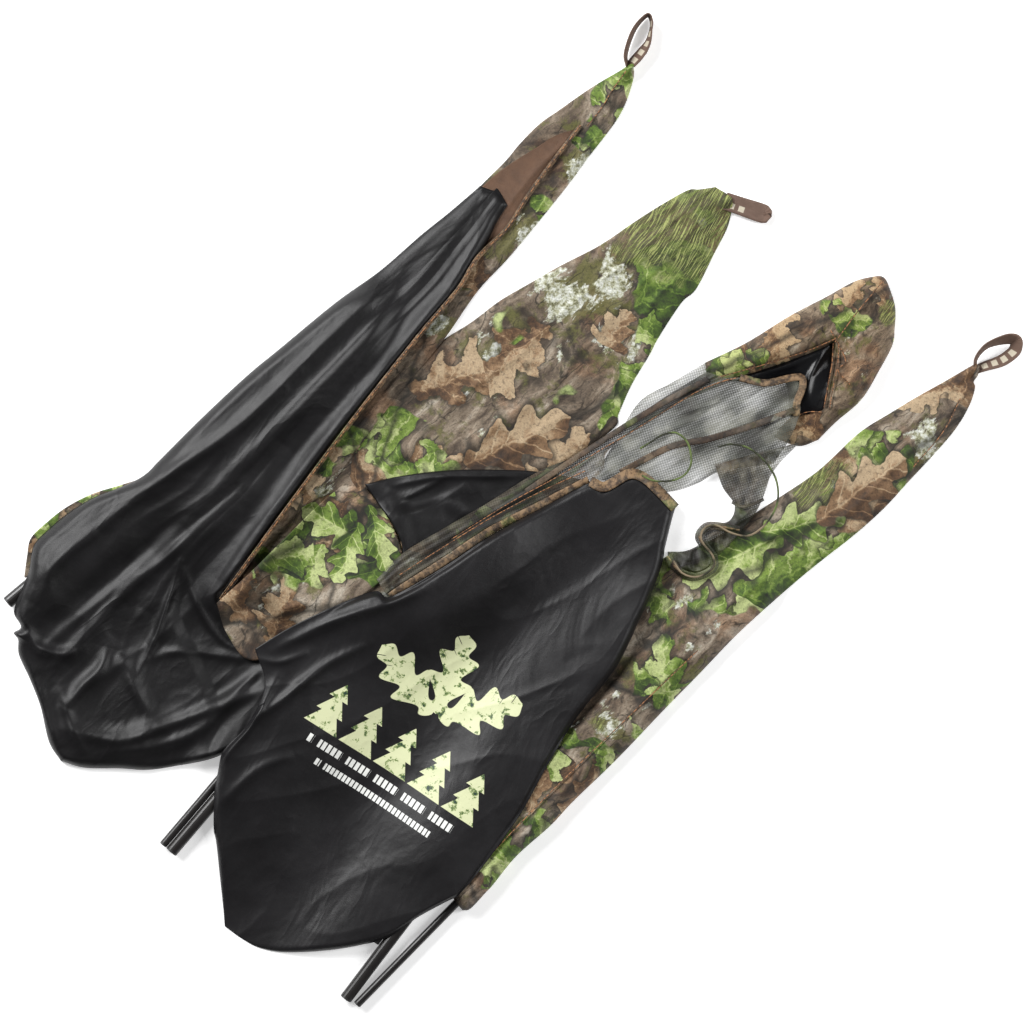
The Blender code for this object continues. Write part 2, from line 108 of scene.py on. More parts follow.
def add_softbox(name, place, size, power):
    data = bpy.data.lights.new(name, "AREA")
    data.shape = "RECTANGLE"
    data.size, data.size_y = size
    data.energy = power
    lamp = bpy.data.objects.new(name, data)
    lamp.location = place
    lamp.rotation_euler = (-Vector(place)).to_track_quat("-Z", "Y").to_euler()
    bpy.context.scene.collection.objects.link(lamp)


def make_studio():
    """A white floor under two large softboxes and a dim white surround."""
    bpy.ops.mesh.primitive_plane_add(size=24.0)
    floor = bpy.context.object
    floor.name = "floor"
    paint = Graph("floor_paint")
    grain = paint.noise(paint.coordinate("Object"), 3.0)
    white = paint.mix(grain, (0.90, 0.90, 0.90), (0.93, 0.93, 0.93))
    paint.shader(white, 0.9, Emission_Color=(1.0, 1.0, 1.0), Emission_Strength=0.4)
    floor.data.materials.append(paint.material)
    add_softbox("softbox_left", (-2.9, 2.7, 2.9), (2.4, 2.4), 340.0)
    add_softbox("softbox_right", (3.4, 0.4, 2.6), (1.4, 2.6), 130.0)
    world = bpy.data.worlds.new("studio")
    bpy.context.scene.world = world
    world.use_nodes = True
    surround = world.node_tree.nodes["Background"].inputs
    surround["Color"].default_value = (1.0, 1.0, 1.0, 1.0)
    surround["Strength"].default_value = 0.12
    bpy.context.scene.view_settings.view_transform = "Standard"


# ---------------------------------------------------------------- materials


class Graph:
    """Short calls that build one material's nodes. A value is a number, a tuple or a socket."""

    def __init__(self, name):
        self.material = bpy.data.materials.new(name)
        self.material.use_nodes = True
        self.tree = self.material.node_tree
        self.principled = self.tree.nodes["Principled BSDF"]

    def add(self, kind, inputs=(), **settings):
        node = self.tree.nodes.new("ShaderNode" + kind)
        for key, value in settings.items():
            setattr(node, key, value)
        for key, value in dict(inputs).items():
            self.feed(node.inputs[key], value)
        return node

    def feed(self, socket, value):
        if isinstance(value, bpy.types.NodeSocket):
            self.tree.links.new(value, socket)
        elif isinstance(value, tuple) and socket.type == "RGBA":
            socket.default_value = (*value, 1.0)
        else:
            socket.default_value = value

    def stored(self, name):
        """A vector kept with the mesh. "cloth" is the place on the flat cloth."""
        return self.add("Attribute", attribute_name=name).outputs["Vector"]

    def coordinate(self, kind):
        return self.add("TexCoord").outputs[kind]

    def parts(self, vector):
        """The vector's X, Y and Z."""
        return self.add("SeparateXYZ", {0: vector}).outputs

    def math(self, operation, first, second=0.0, third=0.0):
        values = {0: first, 1: second, 2: third}
        return self.add("Math", values, operation=operation).outputs[0]

    def product(self, *values):
        """All the values multiplied together."""
        result = values[0]
        for value in values[1:]:
            result = self.math("MULTIPLY", result, value)
        return result

    def line(self, value, slope, start):
        """The value times slope, plus start."""
        return self.math("MULTIPLY_ADD", value, slope, start)

    def vector(self, operation, first, second, third=(0.0, 0.0, 0.0)):
        values = {0: first, 1: second, 2: third}
        return self.add("VectorMath", values, operation=operation).outputs[0]

    def nudged(self, vector, field, reach):
        """The vector moved in X and Y by a field from 0 to 1 times reach."""
        return self.vector("MULTIPLY_ADD", field, (reach, reach, 0.0), vector)

    def scaled(self, vector, factors, turn=0.0, shift=(0.0, 0.0, 0.0)):
        """The vector turned about Z, then stretched, then shifted."""
        turned = self.add("VectorRotate", {"Vector": vector, "Angle": math.radians(turn)})
        return self.vector("MULTIPLY_ADD", turned.outputs[0], factors, shift)

    def noise(self, vector, scale, detail=3.0, rough=0.55, twist=0.0, colour=False):
        settings = {"Vector": vector, "Scale": scale, "Detail": detail}
        node = self.add("TexNoise", {**settings, "Roughness": rough, "Distortion": twist})
        return node.outputs["Color" if colour else "Fac"]

    def cells(self, vector, size, feature="F1"):
        settings = {"Vector": vector, "Scale": 1.0 / size, "Randomness": 0.9}
        return self.add("TexVoronoi", settings, feature=feature, voronoi_dimensions="2D").outputs

    def rise(self, value, low, high):
        """0 below low, 1 above high, smooth between. Low may be above high."""
        inputs = {"Value": value, "From Min": low, "From Max": high}
        node = self.add("MapRange", inputs, interpolation_type="SMOOTHSTEP")
        return node.outputs["Result"]

    def mix(self, factor, low, high, kind="MIX"):
        node = self.add("Mix", data_type="RGBA", blend_type=kind)
        for key, value in ((0, factor), (6, low), (7, high)):
            self.feed(node.inputs[key], value)
        return node.outputs[2]

    def ramp(self, value, stops):
        node = self.add("ValToRGB", {"Fac": value})
        points = node.color_ramp.elements
        while len(points) < len(stops):
            points.new(0.5)
        for point, (place, colour) in zip(points, stops):
            point.position = place
            point.color = (*colour, 1.0)
        return node.outputs["Color"]

    def random(self, colour):
        """Three random numbers from a cell's colour."""
        return self.add("SeparateColor", {"Color": colour}).outputs

    def bump(self, height, depth, strength=1.0):
        inputs = {"Height": height, "Distance": depth, "Strength": strength}
        self.feed(self.principled.inputs["Normal"], self.add("Bump", inputs).outputs[0])

    def shader(self, colour, rough, **sockets):
        """Feeds the colour, the roughness and any sockets that are constant."""
        self.feed(self.principled.inputs["Base Color"], colour)
        self.feed(self.principled.inputs["Roughness"], rough)
        for name, value in sockets.items():
            self.feed(self.principled.inputs[name.replace("_", " ")], value)

    def holes(self, cover):
        """Lets light through where cover is 0."""
        clear = self.add("BsdfTransparent").outputs[0]
        both = self.add("MixShader", {0: cover, 1: clear, 2: self.principled.outputs[0]})
        self.feed(self.tree.nodes["Material Output"].inputs["Surface"], both.outputs[0])


def weave(graph, place, thread):
    """Height of a plain weave with this thread spacing."""
    parts = graph.parts(place)[:2]
    waves = [graph.math("SINE", graph.product(part, 2 * math.pi / thread)) for part in parts]
    return graph.product(*waves)


def leaf(graph, spot):
    """Mask, shadow and tone of one lobed leaf. Spot is 1 at its tip and 0 at its middle."""
    along, across, _ = graph.parts(spot)
    off = graph.math("ABSOLUTE", across)
    fullness = graph.line(along, graph.product(along, -1.0), 1.0)
    taper = graph.math("POWER", graph.math("MAXIMUM", fullness, 0.0), 0.6)
    phase = graph.line(along, 10.5, graph.product(off, -6.0))
    lobes = graph.line(graph.math("SINE", phase), 0.16, 0.40)
    inside = graph.math("SUBTRACT", graph.product(taper, lobes), off)
    rib = graph.rise(off, 0.035, 0.0)
    slant = graph.line(along, 21.0, graph.product(off, -20.0))
    veins = graph.math("MAXIMUM", rib, graph.rise(graph.math("SINE", slant), 0.88, 1.0))
    side = graph.product(graph.rise(across, -0.12, 0.12), 0.35)
    base = graph.line(graph.rise(along, -1.0, 0.8), 0.3, side)
    return (
        graph.rise(inside, 0.0, 0.02),
        graph.rise(inside, -0.16, 0.02),
        graph.line(veins, 0.20, base),
    )


def laid(graph, colour, mask, top, shadow, dark):
    """The colour with a leaf on top of it, and the leaf's dark shadow round it."""
    return graph.mix(mask, graph.mix(shadow, colour, dark), top)


def scattered_leaves(graph, place, size, seed, share, wanted):
    """Leaves strewn over the cloth at random, one to a cell."""
    shifted = graph.vector("ADD", place, (seed, seed * 0.7, 0.0))
    cells = graph.cells(shifted, size)
    chance = graph.random(cells["Color"])
    local = graph.vector("SUBTRACT", shifted, cells["Position"])
    ragged = graph.nudged(local, graph.noise(place, 7.0 / size, 4.0, colour=True), 0.20 * size)
    spot = graph.vector("SUBTRACT", ragged, (0.10 * size, 0.10 * size, 0.0))
    angle = graph.product(chance[0], 2 * math.pi)
    turned = graph.add("VectorRotate", {"Vector": spot, "Angle": angle}).outputs[0]
    mask, shadow, tone = leaf(graph, graph.scaled(turned, (1.8 / size, 1.8 / size, 0.0)))
    kept = graph.rise(graph.math("SUBTRACT", share, chance[1]), 0.0, 0.01)
    kept = graph.product(kept, wanted)
    mask = graph.product(mask, kept)
    shadow = graph.product(shadow, kept)
    return mask, shadow, graph.line(chance[2], 0.35, tone)


def needles(graph, place, turn, seed):
    """Fine long pine needles that lie side by side along turn degrees."""
    swept = graph.nudged(place, graph.noise(place, 11.0, 2.0, colour=True), 0.022)
    combed = graph.scaled(swept, (1.0, 0.035, 1.0), 90.0 - turn, (seed, 0.0, 0.0))
    return graph.rise(graph.noise(combed, 780.0, 2.0, 0.4), 0.53, 0.60)


DEAD_LEAF = [
    (0.05, (0.022, 0.011, 0.006)),
    (0.40, (0.12, 0.062, 0.028)),
    (0.70, (0.28, 0.17, 0.088)),
    (0.95, (0.50, 0.37, 0.23)),
]
FRESH_LEAF = [
    (0.08, (0.008, 0.016, 0.003)),
    (0.40, (0.065, 0.125, 0.012)),
    (0.68, (0.19, 0.29, 0.045)),
    (0.92, (0.50, 0.58, 0.24)),
]
LARGE_LEAVES = [  # X and Y of the middle, half length, heading in degrees, shades
    (298, -66, 76, 205, FRESH_LEAF),
    (395, -20, 58, 10, FRESH_LEAF),
    (476, 26, 74, 36, DEAD_LEAF),
    (8, 92, 78, 25, DEAD_LEAF),
    (-236, -22, 52, 150, FRESH_LEAF),
    (-180, -38, 46, 285, FRESH_LEAF),
    (-222, -58, 44, 250, FRESH_LEAF),
]


def large_leaf(graph, colour, place, x, y, half, heading, shades):
    """The colour with one large leaf laid over it."""
    local = graph.vector("SUBTRACT", place, (x * MM, y * MM, 0.0))
    size = half * MM
    mask, shadow, tone = leaf(graph, graph.scaled(local, (1 / size, 1 / size, 0.0), -heading))
    mottled = graph.line(graph.noise(place, 30.0, 7.0, 0.62), 1.2, tone)
    shade = graph.ramp(graph.rise(mottled, 0.40, 1.30), shades)
    return laid(graph, colour, mask, shade, graph.product(shadow, 0.8), (0.010, 0.009, 0.006))


def camo_colour(graph, zoom=1.0):
    """A forest-floor print: bark, lichen, dead and green leaves and pine needles."""
    place = graph.scaled(graph.stored("cloth"), (zoom, zoom, 1.0))
    green, pale, needly = graph.parts(graph.stored("hints"))
    bent = graph.nudged(place, graph.noise(place, 9.0, 3.0, colour=True), 0.06)
    grain = graph.scaled(bent, (1.0, 0.30, 1.0), 46.0)
    speckle = graph.noise(place, 420.0, 3.0, 0.7)
    colour = graph.ramp(
        graph.noise(grain, 34.0, 10.0, 0.68, 0.5),
        [
            (0.32, (0.014, 0.010, 0.008)),
            (0.41, (0.062, 0.043, 0.029)),
            (0.49, (0.17, 0.128, 0.090)),
            (0.57, (0.31, 0.25, 0.185)),
            (0.68, (0.56, 0.50, 0.41)),
        ],
    )
    warm = graph.rise(graph.noise(place, 12.0, 4.0), 0.50, 0.62)
    colour = graph.mix(graph.product(warm, 0.5), colour, (0.42, 0.22, 0.09), "OVERLAY")
    mossy = graph.line(pale, 0.16, graph.noise(bent, 20.0, 7.0, 0.68))
    mossy = graph.product(graph.rise(mossy, 0.53, 0.62), 0.8)
    colour = graph.mix(mossy, colour, (0.125, 0.125, 0.030))
    torn = graph.nudged(grain, graph.noise(grain, 60.0, 4.0, colour=True), 0.014)
    cracks = graph.rise(graph.cells(torn, 0.024, "DISTANCE_TO_EDGE")["Distance"], 0.04, 0.0)
    broken = graph.rise(graph.noise(place, 40.0, 3.0), 0.42, 0.56)
    colour = graph.mix(graph.product(cracks, broken, 0.85), colour, (0.012, 0.009, 0.006))
    shade = graph.rise(graph.noise(bent, 13.0, 7.0, 0.65), 0.54, 0.64)
    colour = graph.mix(graph.product(shade, 0.85), colour, (0.018, 0.014, 0.009))
    flaked = graph.scaled(bent, (1.0, 0.45, 1.0), 46.0, (0.3, 0.7, 0.0))
    crust = graph.line(pale, 0.17, graph.noise(flaked, 22.0, 10.0, 0.66))
    spots = graph.ramp(
        graph.noise(place, 110.0, 7.0, 0.72),
        [
            (0.37, (0.085, 0.085, 0.030)),
            (0.45, (0.33, 0.33, 0.20)),
            (0.52, (0.60, 0.62, 0.51)),
            (0.60, (0.80, 0.82, 0.76)),
        ],
    )
    colour = graph.mix(graph.rise(crust, 0.60, 0.63), colour, spots)
    for size, seed, share in ((0.14, 3.1, 0.35), (0.09, 5.3, 0.32)):
        mask, shadow, tone = scattered_leaves(graph, bent, size, seed, share, 1.0)
        mottled = graph.line(graph.noise(place, 55.0, 7.0, 0.7), 1.5, tone)
        dead = graph.ramp(graph.rise(mottled, 0.6, 1.7), DEAD_LEAF)
        colour = laid(graph, colour, mask, dead, graph.product(shadow, 0.75), (0.018, 0.013, 0.008))
    cluster = graph.line(green, 0.30, graph.noise(place, 7.0, 3.0))
    leafy = graph.rise(cluster, 0.57, 0.59)
    for size, seed, share in ((0.08, 1.7, 0.8), (0.17, 8.9, 1.0), (0.11, 6.1, 0.7)):
        mask, shadow, tone = scattered_leaves(graph, bent, size, seed, share, leafy)
        mottled = graph.line(graph.noise(place, 36.0, 7.0, 0.66), 1.5, tone)
        fresh = graph.ramp(graph.rise(mottled, 0.55, 1.75), FRESH_LEAF)
        colour = laid(graph, colour, mask, fresh, graph.product(shadow, 0.8), (0.008, 0.010, 0.004))
    tufted = graph.line(needly, 0.45, graph.noise(place, 9.0, 6.0, 0.65))
    tufts = graph.rise(tufted, 0.60, 0.74)
    colour = graph.mix(graph.product(tufts, 0.65), colour, (0.050, 0.058, 0.012))
    for turn, seed, blade in ((34.0, 0.0, (0.13, 0.17, 0.035)), (58.0, 0.4, (0.36, 0.40, 0.13))):
        blades = graph.product(needles(graph, place, turn, seed), tufts)
        colour = graph.mix(blades, colour, blade)
    centred = graph.vector("SUBTRACT", place, (0.011, 0.011, 0.0))
    rippled = graph.nudged(centred, graph.noise(place, 26.0, 3.0, colour=True), 0.022)
    for large in LARGE_LEAVES:
        colour = large_leaf(graph, colour, rippled, *large)
    grit = graph.rise(graph.noise(place, 170.0, 6.0, 0.75), 0.50, 0.36)
    colour = graph.mix(graph.product(grit, 0.55), colour, (0.020, 0.016, 0.010))
    return colour, place, speckle


def camo_material(name, zoom, tint):
    """Woven cloth with the print on it. Zoom above 1 makes the print finer."""
    graph = Graph(name)
    colour, place, speckle = camo_colour(graph, zoom)
    colour = graph.mix(0.35, colour, tint, "SOFT_LIGHT")
    dark = graph.mix(0.3, colour, (0.0, 0.0, 0.0))
    graph.shader(graph.mix(graph.rise(speckle, 0.75, 0.35), colour, dark), 0.75)
    graph.bump(graph.line(weave(graph, place, 1.1 * MM), 0.3, speckle), 0.15 * MM)
    return graph.material


def crinkled(graph, place, turn):
    """Height of thin coated cloth: crisp creases, mostly along turn degrees, over a weave."""
    long = graph.scaled(place, (1.0, 0.45, 1.0), 90.0 - turn)
    off = graph.math("SUBTRACT", graph.noise(long, 17.0, 3.0, 0.5, 0.5), 0.5)
    creases = graph.product(graph.math("ABSOLUTE", off), -1.0)
    soft = graph.line(graph.noise(place, 55.0, 3.0), 0.10, creases)
    return graph.line(weave(graph, place, 0.9 * MM), 0.004, soft)


def black_material(name, low, high, rough, turn):
    """Coated black cloth with a soft satin coat."""
    graph = Graph(name)
    place = graph.stored("cloth")
    worn = graph.rise(graph.noise(place, 12.0, 5.0), 0.35, 0.7)
    rubbed = graph.line(graph.noise(place, 40.0, 4.0), 0.12, rough - 0.06)
    graph.shader(graph.mix(worn, low, high), rubbed, Specular_IOR_Level=0.34)
    graph.bump(crinkled(graph, place, turn), 9 * MM, 0.5)
    return graph.material


def pine_row(graph, x, y, size, count):
    """Mask of a row of plain pine trees, centred where x and y are 0."""
    share = graph.line(y, 1 / size[1], 0.5)
    step = graph.math("FRACT", graph.line(x, 1 / size[0], count / 2))
    off = graph.math("ABSOLUTE", graph.math("SUBTRACT", step, 0.5))
    tier = graph.math("FRACT", graph.product(share, 3.0))
    slope = graph.line(share, -0.32, 0.48)
    slope = graph.line(tier, -0.15, slope)
    return graph.product(
        graph.rise(graph.math("SUBTRACT", slope, off), 0.0, 0.015),
        graph.rise(share, 0.0, 0.01),
        graph.rise(share, 1.0, 0.99),
        graph.rise(graph.math("ABSOLUTE", x), size[0] * count / 2, size[0] * count / 2 - 1 * MM),
    )


def block_line(graph, x, y, half, tall, run):
    """Mask of a line of small plain blocks, with a gap after each run of them."""
    step = graph.math("FRACT", graph.product(x, 1 / (0.62 * tall)))
    group = graph.math("FRACT", graph.line(x, 1 / (0.62 * tall * run), 0.45))
    away = graph.math("ABSOLUTE", y)
    return graph.product(
        graph.rise(step, 0.24, 0.30),
        graph.rise(group, 1.2 / run - 0.01, 1.2 / run),
        graph.rise(away, tall / 2, tall / 2 - 0.6 * MM),
        graph.rise(graph.math("ABSOLUTE", x), half, half - 0.6 * MM),
    )


def printed_material():
    """The black cloth with a plain print: three leaves, a row of pines and two lines of blocks."""
    graph = Graph("printed_black")
    place = graph.stored("cloth")
    centred = graph.vector("SUBTRACT", place, (-0.147, -0.326, 0.0))
    local = graph.scaled(centred, (1.0, 1.0, 1.0), 33.0)
    x, y, _ = graph.parts(local)
    motif = pine_row(graph, x, y, (55 * MM, 69 * MM), 5)
    for turn in (158.0, 100.0, 42.0):
        spot = graph.vector("SUBTRACT", local, (0.012, 0.060, 0.0))
        leafward = graph.scaled(spot, (1 / (58 * MM), 1 / (58 * MM), 0.0), -turn, (-1.10, 0.0, 0.0))
        mask, _, tone = leaf(graph, leafward)
        veined = graph.product(mask, graph.rise(tone, 0.84, 0.78))
        motif = graph.math("MAXIMUM", motif, veined)
    first = block_line(graph, x, graph.math("ADD", y, 52 * MM), 118 * MM, 12 * MM, 6)
    second = block_line(graph, x, graph.math("ADD", y, 75 * MM), 92 * MM, 10 * MM, 30)
    cloud = graph.noise(place, 12.0, 5.0)
    worn = graph.rise(cloud, 0.35, 0.7)
    colour = graph.mix(worn, (0.0065, 0.0060, 0.0068), (0.011, 0.0103, 0.0115))
    patchy = graph.ramp(
        graph.noise(place, 70.0, 6.0, 0.7),
        [
            (0.36, (0.02, 0.045, 0.035)),
            (0.42, (0.19, 0.27, 0.08)),
            (0.45, (0.67, 0.70, 0.43)),
        ],
    )
    colour = graph.mix(motif, colour, patchy)
    colour = graph.mix(graph.math("MAXIMUM", first, second), colour, (0.80, 0.81, 0.78))
    graph.shader(colour, graph.line(cloud, 0.16, 0.38), Specular_IOR_Level=0.34)
    graph.bump(crinkled(graph, place, 62.0), 9 * MM, 0.5)
    return graph.material


def net_material(name, thread, pale, thin, dense, share=0.0):
    """Fine netting: what isn't thread is open. Share is how much of the camo print shows.

    Folded bands of it are closer and darker, and where it is folded close its colour goes nearly
    black as painted shade; a single layer lets streaks of light through.
    """
    graph = Graph(name)
    place = graph.stored("cloth")
    bands = graph.noise(graph.scaled(place, (1.0, 0.08, 1.0), 57.0), 75.0, 5.0, 0.6)
    colour = graph.mix(graph.rise(graph.noise(place, 30.0, 4.0), 0.42, 0.62), thread, pale)
    if share:
        print_colour, _, _ = camo_colour(graph)
        colour = graph.mix(share, colour, print_colour)
    closed, opened, _ = graph.parts(graph.stored("hints"))
    # Painted shade: where the net is folded close its colour goes nearly black; the extra cover
    # below is real.
    colour = graph.mix(graph.rise(closed, 0.3, 1.2), colour, (0.012, 0.010, 0.008))
    graph.shader(colour, 0.6)
    threads = 0.0
    parts = graph.parts(graph.scaled(place, (1.0, 1.0, 1.0), 12.0))
    for part in parts[:2]:
        wave = graph.math("COSINE", graph.product(part, 2 * math.pi / (2.2 * MM)))
        threads = graph.math("MAXIMUM", graph.rise(wave, -0.2, 0.7), threads)
    cover = graph.line(graph.rise(bands, 0.40, 0.62), dense - thin, thin)
    cover = graph.line(graph.rise(bands, 0.37, 0.33), -0.25, cover)
    cover = graph.line(closed, 0.34, cover)
    cover = graph.line(opened, -0.22, cover)
    open_share = graph.line(threads, 0.56, -0.28)
    graph.holes(graph.add("Clamp", {0: graph.math("ADD", cover, open_share)}).outputs[0])
    return graph.material


def brown_material():
    graph = Graph("brown_nylon")
    place = graph.stored("cloth")
    mottle = graph.noise(place, 60.0, 5.0)
    graph.shader(graph.mix(mottle, (0.050, 0.024, 0.012), (0.17, 0.085, 0.043)), 0.62)
    graph.bump(weave(graph, place, 1.2 * MM), 0.12 * MM)
    return graph.material


def binding_material(name, low, high):
    """Folded tape, printed in two mottled browns."""
    graph = Graph(name)
    colour, place, speckle = camo_colour(graph)
    mottle = graph.noise(place, 95.0, 7.0, 0.75)
    tape = graph.mix(graph.rise(mottle, 0.42, 0.60), low, high)
    graph.shader(graph.mix(0.22, tape, colour), 0.7)
    graph.bump(speckle, 0.2 * MM)
    return graph.material


def stitch_material():
    """Rows of short orange and brown stitches."""
    graph = Graph("orange_thread")
    place = graph.stored("cloth")
    beads = graph.rise(graph.noise(place, 260.0, 1.0), 0.46, 0.56)
    graph.shader(graph.mix(beads, (0.075, 0.035, 0.016), (0.36, 0.16, 0.065)), 0.7)
    graph.bump(graph.noise(place, 900.0), 0.2 * MM)
    return graph.material


def webbing_material():
    """Ribbed brown webbing with a row of plain pale blocks woven into one end."""
    graph = Graph("brown_webbing")
    place = graph.stored("cloth")
    x, y, _ = graph.parts(place)
    ribs = graph.math("SINE", graph.product(x, 2 * math.pi / (1.4 * MM)))
    base = graph.mix(graph.noise(place, 90.0, 4.0), (0.105, 0.062, 0.044), (0.20, 0.125, 0.092))
    step = graph.math("FRACT", graph.product(x, 1 / (14 * MM)))
    inside = graph.rise(graph.math("ABSOLUTE", y), 5.8 * MM, 5.2 * MM)
    bars = graph.product(graph.rise(step, 0.40, 0.44), inside, graph.rise(x, 85 * MM, 86 * MM))
    graph.shader(graph.mix(bars, base, (0.60, 0.54, 0.42)), 0.75)
    graph.bump(ribs, 0.25 * MM)
    return graph.material


def tube_material():
    """Smooth black coated tube."""
    graph = Graph("tube_coat")
    place = graph.coordinate("Object")
    black = graph.mix(graph.noise(place, 25.0, 4.0), (0.008, 0.007, 0.007), (0.020, 0.018, 0.017))
    graph.shader(black, graph.line(graph.noise(place, 120.0, 4.0), 0.14, 0.28))
    graph.bump(graph.noise(place, 60.0, 3.0), 0.05 * MM)
    return graph.material


def plastic_material():
    graph = Graph("moulded_plastic")
    place = graph.coordinate("Object")
    black = graph.mix(graph.noise(place, 80.0, 4.0), (0.010, 0.010, 0.010), (0.03, 0.03, 0.03))
    graph.shader(black, 0.45)
    graph.bump(graph.noise(place, 900.0, 3.0), 0.08 * MM)
    return graph.material


def cord_material(name, low, high, faded):
    """Braided cord, dark in places, and faded where it follows the skirt's hem."""
    graph = Graph(name)
    place = graph.coordinate("Object")
    along_hem = graph.rise(graph.parts(place)[1], -6 * MM, -26 * MM)
    high = graph.mix(along_hem, high, faded)
    patches = graph.rise(graph.noise(place, 28.0, 4.0), 0.40, 0.58)
    graph.shader(graph.mix(patches, low, high), 0.75)
    graph.bump(graph.cells(place, 1.2 * MM)["Distance"], 0.3 * MM)
    return graph.material


# ---------------------------------------------------------------- laying cloth


class Ground:
    """How high everything laid so far reaches, on a grid seen from above."""

    cell = 3 * MM

    def __init__(self, low, high):
        margin = 0.03
        self.start = np.array([low.x - margin, low.y - margin])
        size = (np.array([high.x, high.y]) + margin - self.start) / self.cell
        self.height = np.zeros(np.ceil(size).astype(int) + 1)

    def index(self, places):
        spots = (places - self.start) / self.cell
        return np.clip(spots, 0, np.array(self.height.shape) - 1.001)

    def sample(self, places, reach):
        """Height at each place of taut cloth laid on the ground."""
        field = self.tented(reach)
        spots = self.index(places)
        i, j = np.floor(spots).astype(int).transpose(2, 0, 1)
        a, b = (spots - np.floor(spots)).transpose(2, 0, 1)
        near = field[i, j] * (1 - b) + field[i, j + 1] * b
        far = field[i + 1, j] * (1 - b) + field[i + 1, j + 1] * b
        return near * (1 - a) + far * a

    def cover(self, places, heights):
        """Raises the ground to a new piece."""
        low = np.floor(self.index(places)).astype(int)
        for step in ((0, 0), (0, 1), (1, 0), (1, 1)):
            i, j = (low + step).transpose(2, 0, 1)
            np.maximum.at(self.height, (i, j), heights)

    def cover_node(self, name, shift=(0.0, 0.0)):
        """Raises the ground to a CAD node, moved along the ground by shift."""
        data = frame["nodes"][name].data
        tree = BVHTree.FromPolygons(
            [point.co for point in data.vertices], [face.vertices for face in data.polygons]
        )
        low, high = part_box(name)
        first = np.floor((np.array(low[:2]) + shift - self.start) / self.cell).astype(int)
        last = np.ceil((np.array(high[:2]) + shift - self.start) / self.cell).astype(int)
        first = np.clip(first, 0, np.array(self.height.shape) - 1)
        last = np.clip(last, 0, np.array(self.height.shape) - 1)
        for i in range(first[0], last[0] + 1):
            for j in range(first[1], last[1] + 1):
                x, y = self.start + np.array([i, j]) * self.cell - shift
                hit = tree.ray_cast(Vector((x, y, 1.0)), Vector((0, 0, -1)))[0]
                if hit:
                    self.height[i, j] = max(self.height[i, j], hit.z)

    def tented(self, reach):
        """The ground as taut cloth would lie on it: never below, and bridging nearby steps."""
        steps = max(1, round(reach / self.cell))
        field = self.height
        for axis in (0, 1):
            field = np.max([np.roll(field, s, axis) for s in range(-steps, steps + 1)], axis=0)
        half = max(1, steps // 2)
        for _ in range(2):
            for axis in (0, 1):
                rolled = [np.roll(field, s, axis) for s in range(-half, half + 1)]
                field = np.mean(rolled, axis=0)
        return field


ground = Ground(*cad_box)
joints = {joint["name"]: joint for joint in frame["joints"]}


def cover_pole(number):
    """Raises the ground to a pole, at rest and drawn out as far as it goes."""
    slide = joints[f"pole_{number}_slide"]
    reach = max(slide["range_m"], key=abs)
    for shift in (np.zeros(2), np.array(slide["axis"][:2]) * reach):
        for part in ("thick_section", "thin_section"):
            ground.cover_node(f"pole_{number}_{part}", shift)


def cover_swing(name, cloth):
    """Raises the ground to an arm's cloth as it lies when the arm has swung to its limit."""
    swing = joints[name]
    pivot = np.array(swing["pos_m"][:2])
    limit = math.radians(max(swing["range_deg"], key=abs))
    for angle in (0.5 * limit, limit):
        turn = np.array([[math.cos(angle), -math.sin(angle)], [math.sin(angle), math.cos(angle)]])
        ground.cover((cloth.xy - pivot) @ turn.T + pivot, cloth.z)


def spaced(points, count):
    """A smooth line through the points, as this many evenly spaced places."""
    if len(points) > 2:
        ends = np.vstack([2 * points[0] - points[1], points, 2 * points[-1] - points[-2]])
        fine = []
        for a, b, c, d in zip(ends, ends[1:], ends[2:], ends[3:]):
            t = np.linspace(0, 1, 12, endpoint=False)[:, None]
            slope = (c - a) * t
            bow = (2 * a - 5 * b + 4 * c - d) * t**2 + (3 * b - a - 3 * c + d) * t**3
            fine.append(b + 0.5 * (slope + bow))
        points = np.vstack([*fine, points[-1:]])
    runs = np.concatenate([[0], np.cumsum(np.linalg.norm(np.diff(points, axis=0), axis=1))])
    at = np.linspace(0, runs[-1], count)
    return np.stack([np.interp(at, runs, points[:, k]) for k in range(points.shape[1])], axis=1)


def length_of(points):
    return float(np.linalg.norm(np.diff(points, axis=0), axis=1).sum())


